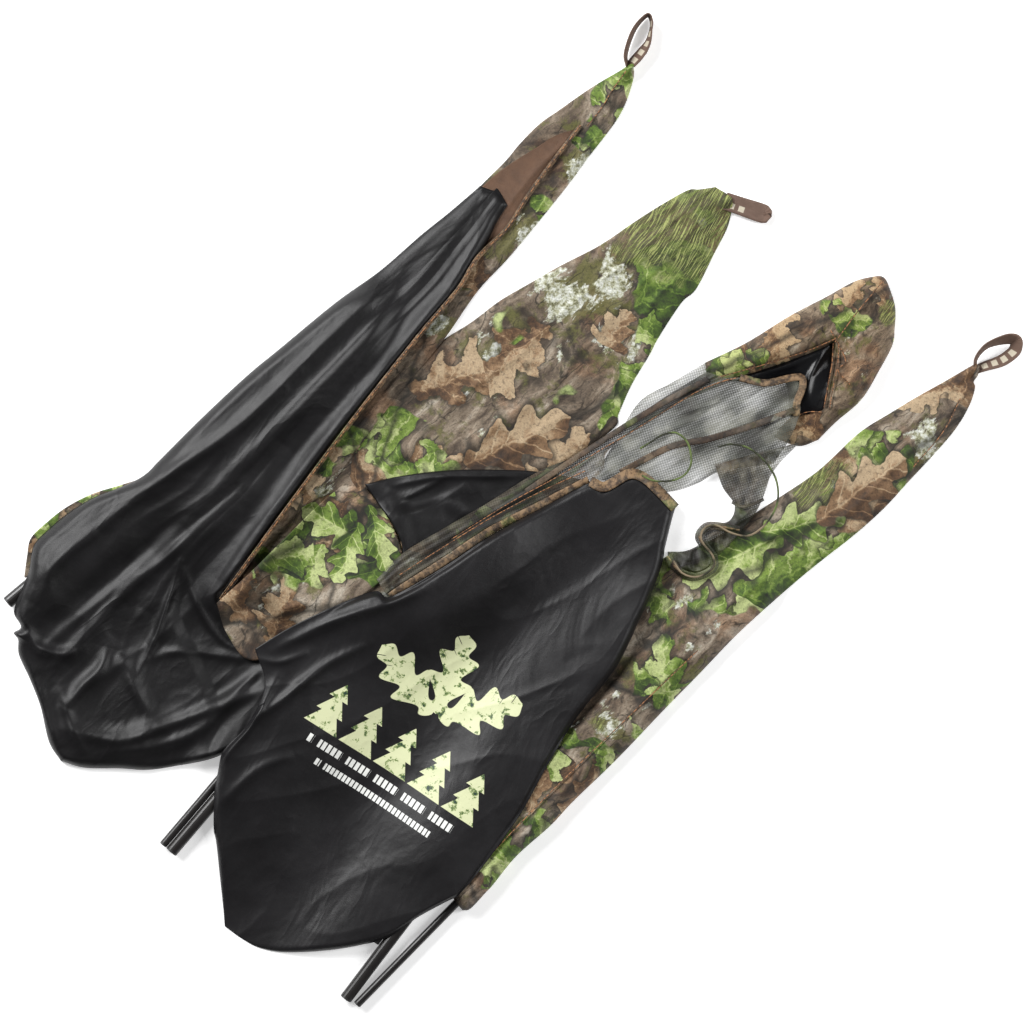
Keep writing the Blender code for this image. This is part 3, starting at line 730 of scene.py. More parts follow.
class Cloth:
    """A grid between a left and a right edge, from its head to its foot."""

    def __init__(self, name, left, right, head=None, foot=None, spacing=GRID):
        self.name = name
        left, right = plan(left), plan(right)
        head = np.array([left[0], right[0]]) if head is None else plan(head)
        foot = np.array([left[-1], right[-1]]) if foot is None else plan(foot)
        length = max(length_of(left), length_of(right))
        rough = np.linalg.norm(spaced(left, 40) - spaced(right, 40), axis=1)
        width = max(rough.max(), length_of(head), length_of(foot))
        rows = math.ceil(length / spacing) + 1
        columns = math.ceil(width / spacing) + 1
        down, over = np.linspace(0, 1, rows), np.linspace(0, 1, columns)
        self.u, self.v = np.meshgrid(down, over, indexing="ij")
        u, v = self.u[..., None], self.v[..., None]
        left, right = spaced(left, rows)[:, None], spaced(right, rows)[:, None]
        head, foot = spaced(head, columns)[None], spaced(foot, columns)[None]
        top = (1 - v) * left[0] + v * right[0]
        base = (1 - v) * left[-1] + v * right[-1]
        self.xy = (1 - v) * left + v * right + (1 - u) * (head - top) + u * (foot - base)
        self.across = np.linalg.norm(self.xy[:, -1] - self.xy[:, 0], axis=1)[:, None]
        inset = np.minimum(self.v, 1 - self.v) * self.across
        self.inset = np.minimum(inset, np.minimum(self.u, 1 - self.u) * length)
        self.z = np.zeros_like(self.u)

    def rounded(self, radius):
        """0 at the edge, rising like a rolled edge to 1 at radius from it."""
        share = np.clip(self.inset / radius, 0, 1)
        return np.sqrt(1 - (1 - share) ** 2)

    def rest_on_ground(self, reach, gap=GAP + THIN):
        """Lifts the cloth onto what is there, bridging steps as far as reach."""
        self.z = self.z + ground.sample(self.xy, reach) + gap

    def clear_ground(self):
        """Lifts the cloth where its shaping has taken it into what it lies on."""
        self.z = np.maximum(self.z, ground.sample(self.xy, 3 * MM) + GAP + THIN)

    def noise(self, size, seed, stretch=1.0, turn=0.0):
        """Smooth noise from -1 to 1 over patches of this size, longer along turn degrees."""
        angle = math.radians(turn)
        x = self.xy[..., 0] * math.cos(angle) + self.xy[..., 1] * math.sin(angle)
        y = self.xy[..., 1] * math.cos(angle) - self.xy[..., 0] * math.sin(angle)
        places = zip((x / size / stretch).ravel(), (y / size).ravel())
        values = [noise.noise((a, b, seed)) for a, b in places]
        return 1.6 * np.array(values).reshape(self.u.shape)

    def creases(self, size, seed, stretch=1.0, turn=0.0):
        """Sharp crests from 0 to 1 where smooth noise changes sign."""
        return np.clip(1 - 2.2 * np.abs(self.noise(size, seed, stretch, turn)), 0, 1) ** 1.5

    def ruffle(self, share, *waves):
        """Adds soft waves, each a height, then what noise() takes. Share is where they show."""
        for height, size, *rest in waves:
            self.z = self.z + share * height * MM * self.noise(size * MM, *rest)

    def flowing(self, count, seed, wander):
        """Rounded crests from 0 to 1 from head to foot, closer where the cloth is narrower."""
        places = zip((self.u * wander).ravel(), (self.v * count).ravel())
        values = np.array([noise.noise((a, b, seed)) for a, b in places]).reshape(self.u.shape)
        return np.clip(1.1 - 3.4 * np.sqrt(values**2 + 0.004), 0, 1)

    def ridges(self, *folds):
        """Folds that fade at both ends. Each has its height, width and line."""
        for height, width, points in folds:
            self.ridge(height, width, points)

    def ridge(self, height, width, points):
        line = spaced(plan(points), 24)
        best = np.full(self.u.shape, np.inf)
        strength = np.zeros(self.u.shape)
        for index, (a, b) in enumerate(zip(line, line[1:])):
            d = b - a
            t = np.clip(((self.xy - a) @ d) / (d @ d), 0, 1)
            away = np.linalg.norm(self.xy - a - t[..., None] * d, axis=-1)
            closer = away < best
            along = (index + t) / (len(line) - 1)
            best = np.where(closer, away, best)
            strength = np.where(closer, np.sin(np.pi * np.clip(along, 0.02, 0.98)) ** 0.6, strength)
        self.z = self.z + height * MM * strength / (1 + (best / (width * MM)) ** 2) ** 1.4

    def long_fold(self, v_head, v_foot, height, width, bend=0.0):
        """A fold that runs from head to foot."""
        centre = v_head + (v_foot - v_head) * self.u + bend * np.sin(np.pi * self.u)
        away = np.abs(self.v - centre) * self.across / (width * MM * (0.35 + 0.65 * self.u))
        self.z = self.z + height * MM * (0.4 + 0.6 * self.u) / (1 + away**2) ** 1.3

    def bunch(self, place, height, reach):
        """Raises the cloth round the spot where a loop is sewn on."""
        away = np.linalg.norm(self.xy - plan(place), axis=-1) / (reach * MM)
        self.z = self.z + height * MM * np.exp(-(away**2))

    def piece(self, material, bottom=np.inf, hints=(), single=False):
        """The finished mesh: two layers, closed round the edge, or a single one.

        The lower layer lies at the height bottom, or under the upper one where that is lower.
        """
        rows, columns = self.u.shape
        count = rows * columns
        top = np.dstack([self.xy, self.z])
        i, j = np.meshgrid(np.arange(rows - 1), np.arange(columns - 1), indexing="ij")
        corner = (i * columns + j).ravel()
        quads = np.stack([corner, corner + columns, corner + columns + 1, corner + 1], axis=1)
        points = top.reshape(-1, 3)
        if not single:
            under = np.minimum(bottom, self.z - THIN)
            points = np.vstack([points, np.dstack([self.xy, under]).reshape(-1, 3)])
            edge = np.arange(count).reshape(rows, columns)
            loop = np.concatenate([edge[0], edge[1:, -1], edge[-1, -2::-1], edge[-2:0:-1, 0]])
            after = np.roll(loop, -1)
            walls = np.stack([loop, after, after + count, loop + count], axis=1)
            quads = np.vstack([quads, quads[:, ::-1] + count, walls])
        data = bpy.data.meshes.new(self.name)
        data.from_pydata(points.tolist(), [], quads.tolist())
        data.materials.append(material)
        data.polygons.foreach_set("use_smooth", [True] * len(quads))
        store(data, "cloth", np.column_stack([points[:, :2], np.zeros(len(points))]))
        weights = np.zeros((len(points), 3))
        for channel, x, y, reach in hints:
            away = np.linalg.norm(points[:, :2] - plan((x, y)), axis=1) / (reach * MM)
            weights[:, channel] += np.exp(-(away**2))
        store(data, "hints", weights)
        made = bpy.data.objects.new(self.name, data)
        bpy.context.scene.collection.objects.link(made)
        ground.cover(self.xy, self.z)
        return made


def store(data, name, vectors):
    """Keeps a vector with each point of the mesh, for its material to read."""
    kept = data.attributes.new(name, "FLOAT_VECTOR", "POINT")
    kept.data.foreach_set("vector", np.asarray(vectors, np.float32).ravel())


def settle(piece, body, nodes=()):
    """Puts a piece on a body, or, given a pair of bodies, keeps it where it lies, and hides the CAD
    nodes that it stands for.
    """
    if isinstance(body, tuple):
        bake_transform(piece)
    else:
        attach(piece, body)
    if nodes:
        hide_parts(*nodes)


def tape(name, route, width, material, body, slot, nodes=(), lift=1.2, rise=0.8, spacing=GRID):
    """A narrow strip that lies along a route on top of what is there."""
    route = plan(route)
    count = math.ceil(length_of(route) / spacing) + 1
    line = spaced(route, count)
    ahead = np.gradient(line, axis=0)
    ahead /= np.linalg.norm(ahead, axis=1)[:, None]
    side = np.stack([-ahead[:, 1], ahead[:, 0]], axis=1) * width * MM / 2
    left, right = (line + side) / MM, (line - side) / MM
    strip = Cloth(name, left, right, spacing=min(spacing, width * MM / 4))
    strip.rest_on_ground(2 * MM, lift * MM)
    strip.z += rise * MM * np.sin(np.pi * strip.v)
    made = strip.piece(material)
    settle(made, body, nodes)
    return made


# The first arm's cloth spans the bundle and the arm, over this stretch; it is left attached to
# neither.
BLACK_BODY = ("bundle", "arm_1", (-0.5, -0.19, 0.0), (-0.5, -0.02, 0.0))

# Channels of the hints. A hint is a channel, a place and how far it reaches.
GREEN, PALE, NEEDLY = 0, 1, 2  # on the print: green leaves, pale lichen and pine needles
FOLDED_AND_SHADED, OPENED = 0, 1  # on net: folded close, which also gets painted shade, and a single layer


def sewn_lines(name, routes, body, thread):
    """Lines of stitches on top of what is there."""
    return [
        tape(f"{name}_{number}", route, 1.3, thread, body, "camo_cloth", (), 1.2, 0.4, 2 * GRID)
        for number, route in enumerate(routes, 1)
    ]


def make_arm_2(camo):
    """The printed shell of the second arm, and room for it to swing."""
    ground.cover_node("pole_2_sleeve")
    cover_pole(2)
    left = [
        (277, 437), (255, 434), (240, 433), (207, 415), (169, 391), (120, 358), (66, 330),
        (26, 307), (-15, 283), (-55, 253), (-108, 218), (-185, 148), (-256, 74), (-322, 4),
        (-375, -70),
    ]
    right = [
        (277, 437), (293, 427), (300, 416), (294, 384), (275, 346), (251, 299), (231, 280),
        (200, 233), (188, 210), (164, 170), (146, 130), (136, 107), (50, 45), (-30, -25),
        (-120, -100), (-200, -140), (-262, -146),
    ]
    arm = Cloth("arm_2_cloth", left, right)
    arm.rest_on_ground(20 * MM, 1.5 * MM)
    full = arm.rounded(26 * MM)
    low = np.clip(1.6 - 1.6 * arm.v, 0, 1) * full
    arm.z = arm.z * full + 1.5 * MM + (0.3 * full + 0.7 * low) * 5 * MM
    arm.long_fold(0.30, 0.35, 5, 9)
    arm.long_fold(0.55, 0.50, 5, 12, 0.06)
    arm.long_fold(0.80, 0.72, 2.5, 8)
    arm.ruffle(full, (1.6, 50, 1.0, 2.2, 50), (0.8, 18, 2.0))
    arm.bunch((296, 418), 10, 12)
    arm.clear_ground()
    hints = [
        (NEEDLY, 240, 400, 70), (NEEDLY, 270, 380, 50), (GREEN, 250, 320, 40),
        (GREEN, 210, 260, 45), (GREEN, 190, 200, 45), (GREEN, 170, 150, 35), (PALE, 130, 290, 45),
        (PALE, 60, 285, 35), (PALE, -30, 200, 40), (PALE, 270, 380, 20), (GREEN, -170, 100, 30),
    ]
    piece = arm.piece(camo, UNDERSIDE, hints)
    settle(piece, "arm_2", ["arm_2_shell", "pole_2_sleeve"])
    cover_swing("arm_2_swing", arm)


def make_arm_4(camo, thread):
    """The printed shell of the fourth arm, with its seams."""
    ground.cover_node("pole_4_sleeve")
    cover_pole(4)
    left = [
        (628, 197), (585, 172), (551, 153), (513, 130), (471, 103), (417, 53), (363, 16),
        (316, -14), (252, -52), (200, -72), (146, -165), (86, -250), (6, -355), (-64, -445),
        (-92, -506),
    ]
    right = [
        (633, 195), (632, 182), (627, 173), (629, 164), (620, 138), (601, 107), (570, 71),
        (539, 38), (506, 2), (466, -34), (415, -74), (371, -111), (308, -168), (255, -223),
        (207, -272), (142, -340), (85, -395), (53, -429), (7, -470), (-23, -507), (-34, -519),
        (-55, -541), (-66, -543),
    ]
    arm = Cloth("arm_4_cloth", left, right)
    arm.rest_on_ground(20 * MM, 1.5 * MM)
    full = arm.rounded(18 * MM)
    arm.z = arm.z * full + 1.5 * MM + full * 4 * MM
    arm.long_fold(0.35, 0.30, 4, 8, 0.05)
    arm.long_fold(0.68, 0.78, 6, 10)
    arm.ruffle(full, (1.6, 50, 3.0, 2.2, 48), (0.8, 18, 4.0))
    arm.bunch((630, 191), 20, 11)
    arm.clear_ground()
    hints = [
        (GREEN, 520, 70, 30), (GREEN, 300, -75, 55), (NEEDLY, 425, 25, 42), (PALE, 560, 90, 30),
        (GREEN, 200, -230, 40), (GREEN, 90, -360, 50), (GREEN, 10, -450, 40), (PALE, 130, -290, 25),
    ]
    piece = arm.piece(camo, UNDERSIDE, hints)
    settle(piece, "arm_4", ["arm_4_shell", "pole_4_sleeve"])
    seams = [[(252, -190), (66, -369), (-35, -473)], [(608, 150), (585, 105), (545, 58)]]
    stitches = sewn_lines("arm_4_stitches", seams, "arm_4", thread)


def make_arm_4_join(black):
    """The black cloth that joins the fourth arm to the panel, folded flat between them."""
    left = [(188, -64), (128, -84), (72, -170), (16, -250), (-60, -350), (-118, -430), (-140, -480)]
    right = [
        (222, -80), (190, -110), (150, -185), (100, -260), (30, -350), (-30, -430), (-66, -480),
    ]
    join = Cloth("arm_4_join", left, right)
    join.z += 1.2 * MM
    piece = join.piece(black)
    settle(piece, "arm_4")


def make_arm_1(camo, brown):
    """The printed shell of the first arm, and the brown cloth inside its tip."""
    ground.cover_node("pole_1_sleeve")
    cover_pole(1)
    left = [
        (163, 603), (127, 583), (100, 566), (66, 542), (39, 523), (12, 496), (-8, 472), (-42, 438),
        (-90, 386), (-180, 300), (-290, 200), (-400, 100), (-470, 20),
    ]
    right = [
        (166, 602), (165, 580), (147, 534), (104, 476), (72, 433), (1, 346), (-45, 296), (-92, 229),
        (-150, 159), (-212, 76), (-254, 22), (-302, -17), (-342, -82), (-375, -140),
    ]
    arm = Cloth("arm_1_cloth", left, right)
    arm.rest_on_ground(16 * MM, 1.2 * MM)
    full = arm.rounded(16 * MM)
    arm.z = arm.z * full + 1.2 * MM + full * 4 * MM
    arm.long_fold(0.86, 0.93, 3, 6)
    arm.ridge(3, 6, [(155, 590), (138, 567), (122, 541), (103, 517)])
    arm.ruffle(full, (1.4, 40, 5.0, 2.0, 45), (0.6, 16, 6.0))
    arm.bunch((162, 598), 20, 11)
    arm.clear_ground()
    hints = [
        (GREEN, 130, 550, 35), (GREEN, 110, 500, 25), (PALE, 90, 460, 30), (PALE, 20, 375, 25),
        (PALE, -100, 250, 20),
    ]
    piece = arm.piece(camo, UNDERSIDE, hints)
    settle(piece, BLACK_BODY, ["arm_1_shell"])

    edge = [(93, 517), (53, 466), (22, 423), (-5, 381), (-45, 340)]
    inner = Cloth("arm_1_inner", [(93, 517), (60, 506), (34, 490), (-10, 462), (-42, 435)], edge)
    inner.rest_on_ground(6 * MM)
    inner.z -= 0.8 * MM * inner.rounded(20 * MM)
    inner.ridge(3, 6, [(80, 505), (30, 455), (-20, 390)])
    piece = inner.piece(brown)
    settle(piece, "arm_1", ["arm_1_inner_panel"])


def make_rim(camo):
    """The corner of the first arm's hem that shows past its lining."""
    outer = [
        (-494, 44), (-533, 32), (-568, 21), (-603, 3), (-630, -18), (-651, -39), (-656, -62),
        (-660, -92),
    ]
    inner = [
        (-490, 32), (-525, 18), (-560, 6), (-590, -10), (-615, -28), (-632, -45), (-640, -65),
        (-645, -90),
    ]
    rim = Cloth("arm_1_rim", outer, inner)
    rim.z += 1.3 * MM + 4 * MM * rim.rounded(6 * MM) * np.clip(1 - 2 * rim.u, 0, 1)
    piece = rim.piece(camo, UNDERSIDE, [(GREEN, -590, 5, 60)])
    settle(piece, BLACK_BODY, ["arm_1_corner"])


def make_black_cloth(black, binding, thread):
    """The inside of the first arm, turned out, and the gathered cloth that it runs into."""
    left = [
        (-42, 438), (-82, 404), (-123, 371), (-177, 324), (-238, 280), (-312, 219), (-358, 181),
        (-419, 124), (-473, 70), (-497, 46), (-530, 30), (-566, 16), (-598, -3), (-625, -25),
        (-645, -45), (-650, -62), (-655, -92), (-672, -136), (-664, -159), (-674, -167),
        (-668, -176), (-667, -197), (-652, -230), (-637, -267), (-626, -315), (-610, -341),
    ]
    right = [
        (-5, 412), (-20, 388), (-28, 370), (-48, 335), (-71, 297), (-97, 265), (-129, 227),
        (-215, 116), (-300, 2), (-370, -92), (-392, -119), (-368, -152), (-330, -198), (-314, -250),
        (-345, -303),
    ]
    head = [(-42, 438), (-24, 432), (-18, 434), (-5, 412)]
    foot = [
        (-610, -341), (-578, -350), (-529, -351), (-494, -353), (-456, -348), (-398, -335),
        (-345, -303),
    ]
    lining = Cloth("arm_1_lining", left, right, head, foot)
    lining.rest_on_ground(24 * MM)
    full = lining.rounded(16 * MM)
    lining.z = 1.2 * MM + lining.z * (0.15 + 0.85 * full)
    low = np.clip((lining.u - 0.60) / 0.25, 0, 1)
    lining.z += low * full * 7 * MM
    wide = np.clip(lining.across / 0.30, 0, 1)
    lining.z += full * wide * 5 * MM * lining.flowing(3.0, 7.0, 1.0)
    lining.z += full * wide * 1.2 * MM * lining.flowing(7.0, 8.0, 2.0)
    folds = [
        (15, 20, [(-14, 408), (-60, 325), (-150, 205), (-250, 90), (-340, -30), (-395, -110)]),
        (9, 17, [(-60, 395), (-140, 290), (-240, 180), (-330, 90), (-420, 0), (-500, -60)]),
        (9, 13, [(-150, 320), (-260, 215), (-370, 110), (-487, 30), (-580, -45), (-656, -105)]),
        (9, 15, [(-300, 90), (-380, 0), (-450, -70), (-500, -140)]),
        (12, 13, [(-360, 30), (-440, -42), (-521, -110), (-567, -161), (-613, -207)]),
        (7, 11, [(-440, -20), (-530, -100), (-600, -160), (-645, -200)]),
        (6, 14, [(-560, -20), (-610, -70), (-645, -130)]),
        (8, 9, [(-655, -160), (-640, -185), (-610, -195), (-585, -190)]),
        (7, 5, [(-446, -70), (-462, -120), (-482, -175), (-506, -228)]),
        (5, 7, [(-446, -74), (-418, -140), (-388, -178), (-342, -200)]),
        (4, 8, [(-500, -205), (-450, -192), (-400, -196), (-345, -205)]),
        (5, 7, [(-420, -268), (-380, -250), (-335, -215)]),
        (10, 9, [(-545, -185), (-555, -215), (-580, -240), (-600, -270)]),
        (11, 12, [(-590, -300), (-530, -312), (-455, -288), (-312, -233)]),
        (10, 13, [(-560, -330), (-480, -320), (-410, -290), (-333, -207)]),
        (7, 12, [(-648, -225), (-632, -275), (-612, -325)]),
        (6, 10, [(-610, -235), (-595, -290), (-575, -335)]),
        (8, 12, [(-530, -190), (-508, -240), (-485, -285)]),
    ]
    lining.ridges(*folds)
    lining.z += full * 2.0 * MM * lining.noise(60 * MM, 9.0, 2.4, 47)
    lining.z += full * low * 2.5 * MM * lining.creases(90 * MM, 10.0, 2.0, 40)
    lining.z += full * low * 0.8 * MM * lining.creases(45 * MM, 11.0, 2.0, 60)
    lining.clear_ground()
    piece = lining.piece(black)
    settle(piece, BLACK_BODY, ["gathered_lining", "pole_1_sleeve"])

    slit = [
        (94, 520), (53, 466), (22, 423), (-5, 381), (-45, 340), (-68, 302), (-94, 270), (-126, 232),
        (-215, 118), (-300, 4), (-370, -92), (-392, -122),
    ]
    nodes = ["arm_1_slit_binding"]
    edging = tape("arm_1_slit_tape", slit, 6, binding, BLACK_BODY, "camo_cloth", nodes, 1.4, 1.2)
    tip = [(155, 592), (138, 569), (122, 543), (103, 519)]
    stitches = sewn_lines("arm_1_stitches", [slit, tip], BLACK_BODY, thread)


def make_patch(camo):
    """The printed patch between the second arm and the panel."""
    left = [(-228, 33), (-262, 4), (-310, -44), (-355, -88), (-397, -126)]
    right = [(-197, 30), (-178, 6), (-161, -20), (-150, -45), (-148, -66), (-169, -92)]
    foot = [(-397, -126), (-384, -168), (-350, -204), (-282, -176), (-238, -146), (-169, -92)]
    patch = Cloth("camo_patch_cloth", left, right, None, foot)
    patch.rest_on_ground(14 * MM)
    patch.ridges(
        (4, 14, [(-212, 28), (-190, -20), (-175, -60)]),
        (4, 16, [(-260, -30), (-250, -80), (-270, -130)]),
        (5, 7, [(-330, -150), (-290, -130), (-240, -125)]),
    )
    patch.z += patch.rounded(9 * MM) * (2 * MM + 1.5 * MM * patch.noise(40 * MM, 11.0))
    hints = [
        (GREEN, -270, -40, 45), (GREEN, -200, -50, 40), (GREEN, -170, -80, 30),
        (GREEN, -230, -10, 40),
    ]
    piece = patch.piece(camo, hints=hints)
    settle(piece, "bundle", ["camo_patch"])


def make_upper_cloth(black):
    """The black cloth that shows above the strip of net."""
    left = [(-198, 34), (-178, 6), (-160, -20), (-148, -45), (-146, -68)]
    right = [(108, 38), (40, 0), (-30, -40), (-90, -80), (-140, -108)]
    head = [(-198, 34), (-151, 45), (-86, 53), (-23, 54), (38, 51), (108, 38)]
    upper = Cloth("upper_cloth", left, right, head)
    upper.rest_on_ground(14 * MM)
    upper.ridges(
        (4, 6, [(-168, 8), (-130, 22), (-85, 46)]),
        (4, 7, [(-150, -10), (-105, 6), (-55, 36)]),
        (4, 6, [(-170, 30), (-100, 44), (-20, 45), (20, 46)]),
    )
    upper.z += upper.rounded(8 * MM) * (2 * MM + 1.4 * MM * upper.noise(35 * MM, 12.0))
    piece = upper.piece(black)
    settle(piece, "bundle", ["upper_lining"])


def make_hood(camo, gloss, thread):
    """The third arm: its black inside, and the printed hood round the window."""
    window = Cloth(
        "hood_inside",
        [(272, 176), (319, 192), (379, 212), (440, 234)],
        [(305, 174), (343, 168), (378, 170), (380, 122), (432, 118)],
    )
    window.z += 3 * MM + 4 * MM * window.rounded(30 * MM)
    window.z += 3 * MM * window.noise(30 * MM, 13.0, 2.0, 30)
    window.ridges(
        (6, 5, [(400, 150), (405, 180), (425, 215)]),
        (4, 5, [(330, 182), (380, 196), (430, 222)]),
    )
    piece = window.piece(gloss)
    settle(piece, "bundle", ["hood_lining"])

    outer = [
        (263, 199), (319, 226), (379, 263), (427, 288), (463, 308), (487, 315), (505, 315),
        (515, 295), (521, 272), (520, 245), (517, 223), (500, 190), (475, 149), (441, 119),
        (416, 94),
    ]
    inner = [
        (266, 171), (292, 177), (319, 182), (379, 201), (420, 217), (435, 224), (436, 205),
        (430, 175), (423, 137), (404, 130), (378, 124), (356, 98),
    ]
    foot = [(416, 94), (390, 86), (356, 98)]
    hood = Cloth("hood_cloth", outer, inner, None, foot)
    full = hood.rounded(26 * MM)
    swell = 24 - 14 * np.clip((hood.u - 0.75) / 0.25, 0, 1)
    swell -= 12 * np.clip((0.2 - hood.u) / 0.2, 0, 1)
    crumple = 3 * hood.noise(45 * MM, 14.0) + 2 * hood.creases(34 * MM, 15.0)
    hood.z += 2 * MM + full * (swell + crumple) * MM
    hood.ridges(
        (5, 7, [(505, 312), (470, 270), (437, 226)]),
        (4, 5, [(431, 242), (451, 202), (441, 188), (458, 168)]),
        (3, 7, [(300, 190), (360, 215), (430, 250)]),
    )
    hints = [(GREEN, 275, 185, 25), (GREEN, 320, 210, 18), (NEEDLY, 512, 262, 20)]
    piece = hood.piece(camo, UNDERSIDE, hints)
    settle(piece, "bundle", ["hood"])
    routes = [
        [(435, 224), (434, 200), (428, 165), (423, 138)],
        [(442, 226), (441, 200), (435, 165), (430, 136)],
        [(437, 230), (400, 214), (340, 195), (270, 176)],
        [(431, 242), (451, 202), (441, 188), (458, 168)],
        [(505, 312), (470, 270), (437, 226)],
        [(420, 132), (394, 130), (360, 108)],
    ]
    stitches = sewn_lines("hood_stitches", routes, "bundle", thread)


def make_window_net(net, binding, dark_binding):
    """The net of the window, with its bound edge and a seam across it."""
    head = [(263, 199), (268, 178), (309, 178), (343, 171), (379, 178), (396, 178)]
    left = [(263, 199), (218, 172), (174, 146), (142, 94), (110, 40)]
    right = [(396, 178), (391, 150), (390, 130), (378, 98), (356, 62)]
    foot = [(110, 40), (160, 36), (209, 24), (250, 34), (285, 52), (356, 62)]
    panel = Cloth("window_net", left, right, head, foot)
    panel.rest_on_ground(8 * MM, 3 * MM)
    panel.z += panel.rounded(20 * MM) * (6 * MM + 3 * MM * panel.noise(40 * MM, 16.0, 3.0, 25))
    panel.ridges(
        (6, 7, [(150, 75), (220, 110), (300, 140), (385, 160)]),
        (5, 5, [(190, 120), (260, 140), (330, 160)]),
        (6, 6, [(180, 50), (250, 90), (330, 110)]),
    )
    # Where the net is folded close it is darkened as painted shade; elsewhere it is a single layer.
    hints = [
        (OPENED, 240, 175, 22), (OPENED, 200, 150, 20), (OPENED, 330, 145, 18),
        (OPENED, 280, 125, 14), (OPENED, 210, 65, 16), (FOLDED_AND_SHADED, 370, 160, 20),
        (FOLDED_AND_SHADED, 340, 120, 18), (FOLDED_AND_SHADED, 240, 135, 22), (FOLDED_AND_SHADED, 250, 90, 16),
        (FOLDED_AND_SHADED, 320, 85, 28), (OPENED, 250, 50, 16),
    ]
    piece = panel.piece(net, hints=hints, single=True)
    settle(piece, "bundle", ["mesh_panel"])
    edge = [(309, 178), (343, 171), (379, 178), (393, 178), (394, 165), (386, 144), (385, 126)]
    place = ("bundle", "camo_cloth")
    edging = tape("window_tape", edge, 10, binding, *place, ["window_binding"], 2.0, 0.6)
    across = [(148, 50), (214, 84), (270, 96), (331, 115), (382, 134)]
    seam = tape("window_seam", across, 9, dark_binding, *place, (), 1.6, 0.4)


def make_strip_net(printed_net, binding, dark_binding, thread):
    """The long folded strip of net, from the hood down to the bundle."""
    upper = [
        (264, 186), (219, 159), (169, 126), (117, 92), (90, 73), (36, 51), (-30, 10), (-90, -25),
        (-146, -59), (-181, -94),
    ]
    lower = [
        (300, 174), (270, 162), (219, 140), (169, 108), (130, 78), (118, 46), (40, 3), (-28, -32),
        (-90, -73), (-146, -109), (-165, -120),
    ]
    strip = Cloth("strip_net", upper, lower)
    strip.rest_on_ground(8 * MM)
    for share, height, width in ((0.18, 2, 2), (0.38, 4, 4), (0.58, 2, 2), (0.78, 3, 3)):
        strip.long_fold(share, share - 0.05, height, width, 0.04)
    # Along this band the net is folded close and darkened as painted shade.
    band = [(-60, -32), (39, 34), (133, 98), (200, 140), (265, 174)]
    hints = [(FOLDED_AND_SHADED, x, y, 14) for x, y in spaced(np.array(band, float), 18)]
    piece = strip.piece(printed_net, hints=hints, single=True)
    settle(piece, "bundle", ["mesh_strip"])
    border = [(-163, -118), (-146, -106), (-90, -70), (-28, -29), (40, 6), (105, 40)]
    hem = tape("strip_hem", border, 11, binding, "bundle", "camo_cloth", ["mesh_strip_hem"])
    middle = [(20, 24), (76, 62), (133, 99), (200, 141), (266, 176)]
    fold = tape("strip_fold", middle, 8, dark_binding, "bundle", "mesh_net", (), 1.4, 0.6)
    routes = [
        [(306, 178), (280, 171), (244, 155), (168, 108), (117, 78), (66, 46), (0, 10), (-80, -40)],
        [(100, 52), (40, 24), (-28, -12), (-90, -50), (-150, -88)],
    ]
    stitches = sewn_lines("strip_stitches", routes, "bundle", thread)


def make_skirt(dark_net, binding):
    """The ruffled end of the net, drawn in by its cord, with its turned hem."""
    left = [
        (275, 61), (287, 30), (303, 6), (297, -14), (278, -21), (265, -28), (256, -46), (236, -56),
        (212, -57),
    ]
    right = [
        (390, 91), (356, 53), (343, 20), (332, -3), (316, -24), (302, -41), (277, -66), (255, -84),
        (212, -79),
    ]
    skirt = Cloth("skirt_net", left, right)
    full = skirt.rounded(7 * MM)
    skirt.rest_on_ground(10 * MM)
    gathers = 7 * skirt.creases(20 * MM, 18.0, 2.5, 70) + 3 * skirt.noise(12 * MM, 19.0)
    skirt.z += full * (3 + gathers) * MM
    skirt.ridges(
        (6, 5, [(300, 70), (315, 30), (318, -5), (285, -30)]),
        (5, 4, [(350, 72), (330, 30), (322, 0)]),
    )
    # Where the skirt is folded close it is darkened as painted shade; elsewhere it is a single
    # layer.
    hints = [
        (OPENED, 360, 70, 22), (FOLDED_AND_SHADED, 300, -20, 30), (FOLDED_AND_SHADED, 240, -65, 30),
        (OPENED, 340, 25, 10),
    ]
    piece = skirt.piece(dark_net, hints=hints, single=True)
    settle(piece, "bundle", ["mesh_skirt"])
    turned = [
        (309, -28), (275, -22), (262, -25), (255, -40), (273, -63), (273, -80), (250, -91),
        (228, -84), (211, -63),
    ]
    hem = tape("skirt_hem", turned, 11, dark_net, "bundle", "mesh_net", (), 1.6, 2.0)
    edge = tape("skirt_edge", turned, 2.6, binding, "bundle", "camo_cloth", (), 1.4, 1.0)
    drawn = [(299, 10), (312, 4), (330, 8), (342, 14)]
    gather = tape("skirt_gather", drawn, 4, dark_net, "bundle", "camo_cloth", (), 1.6, 2.0)


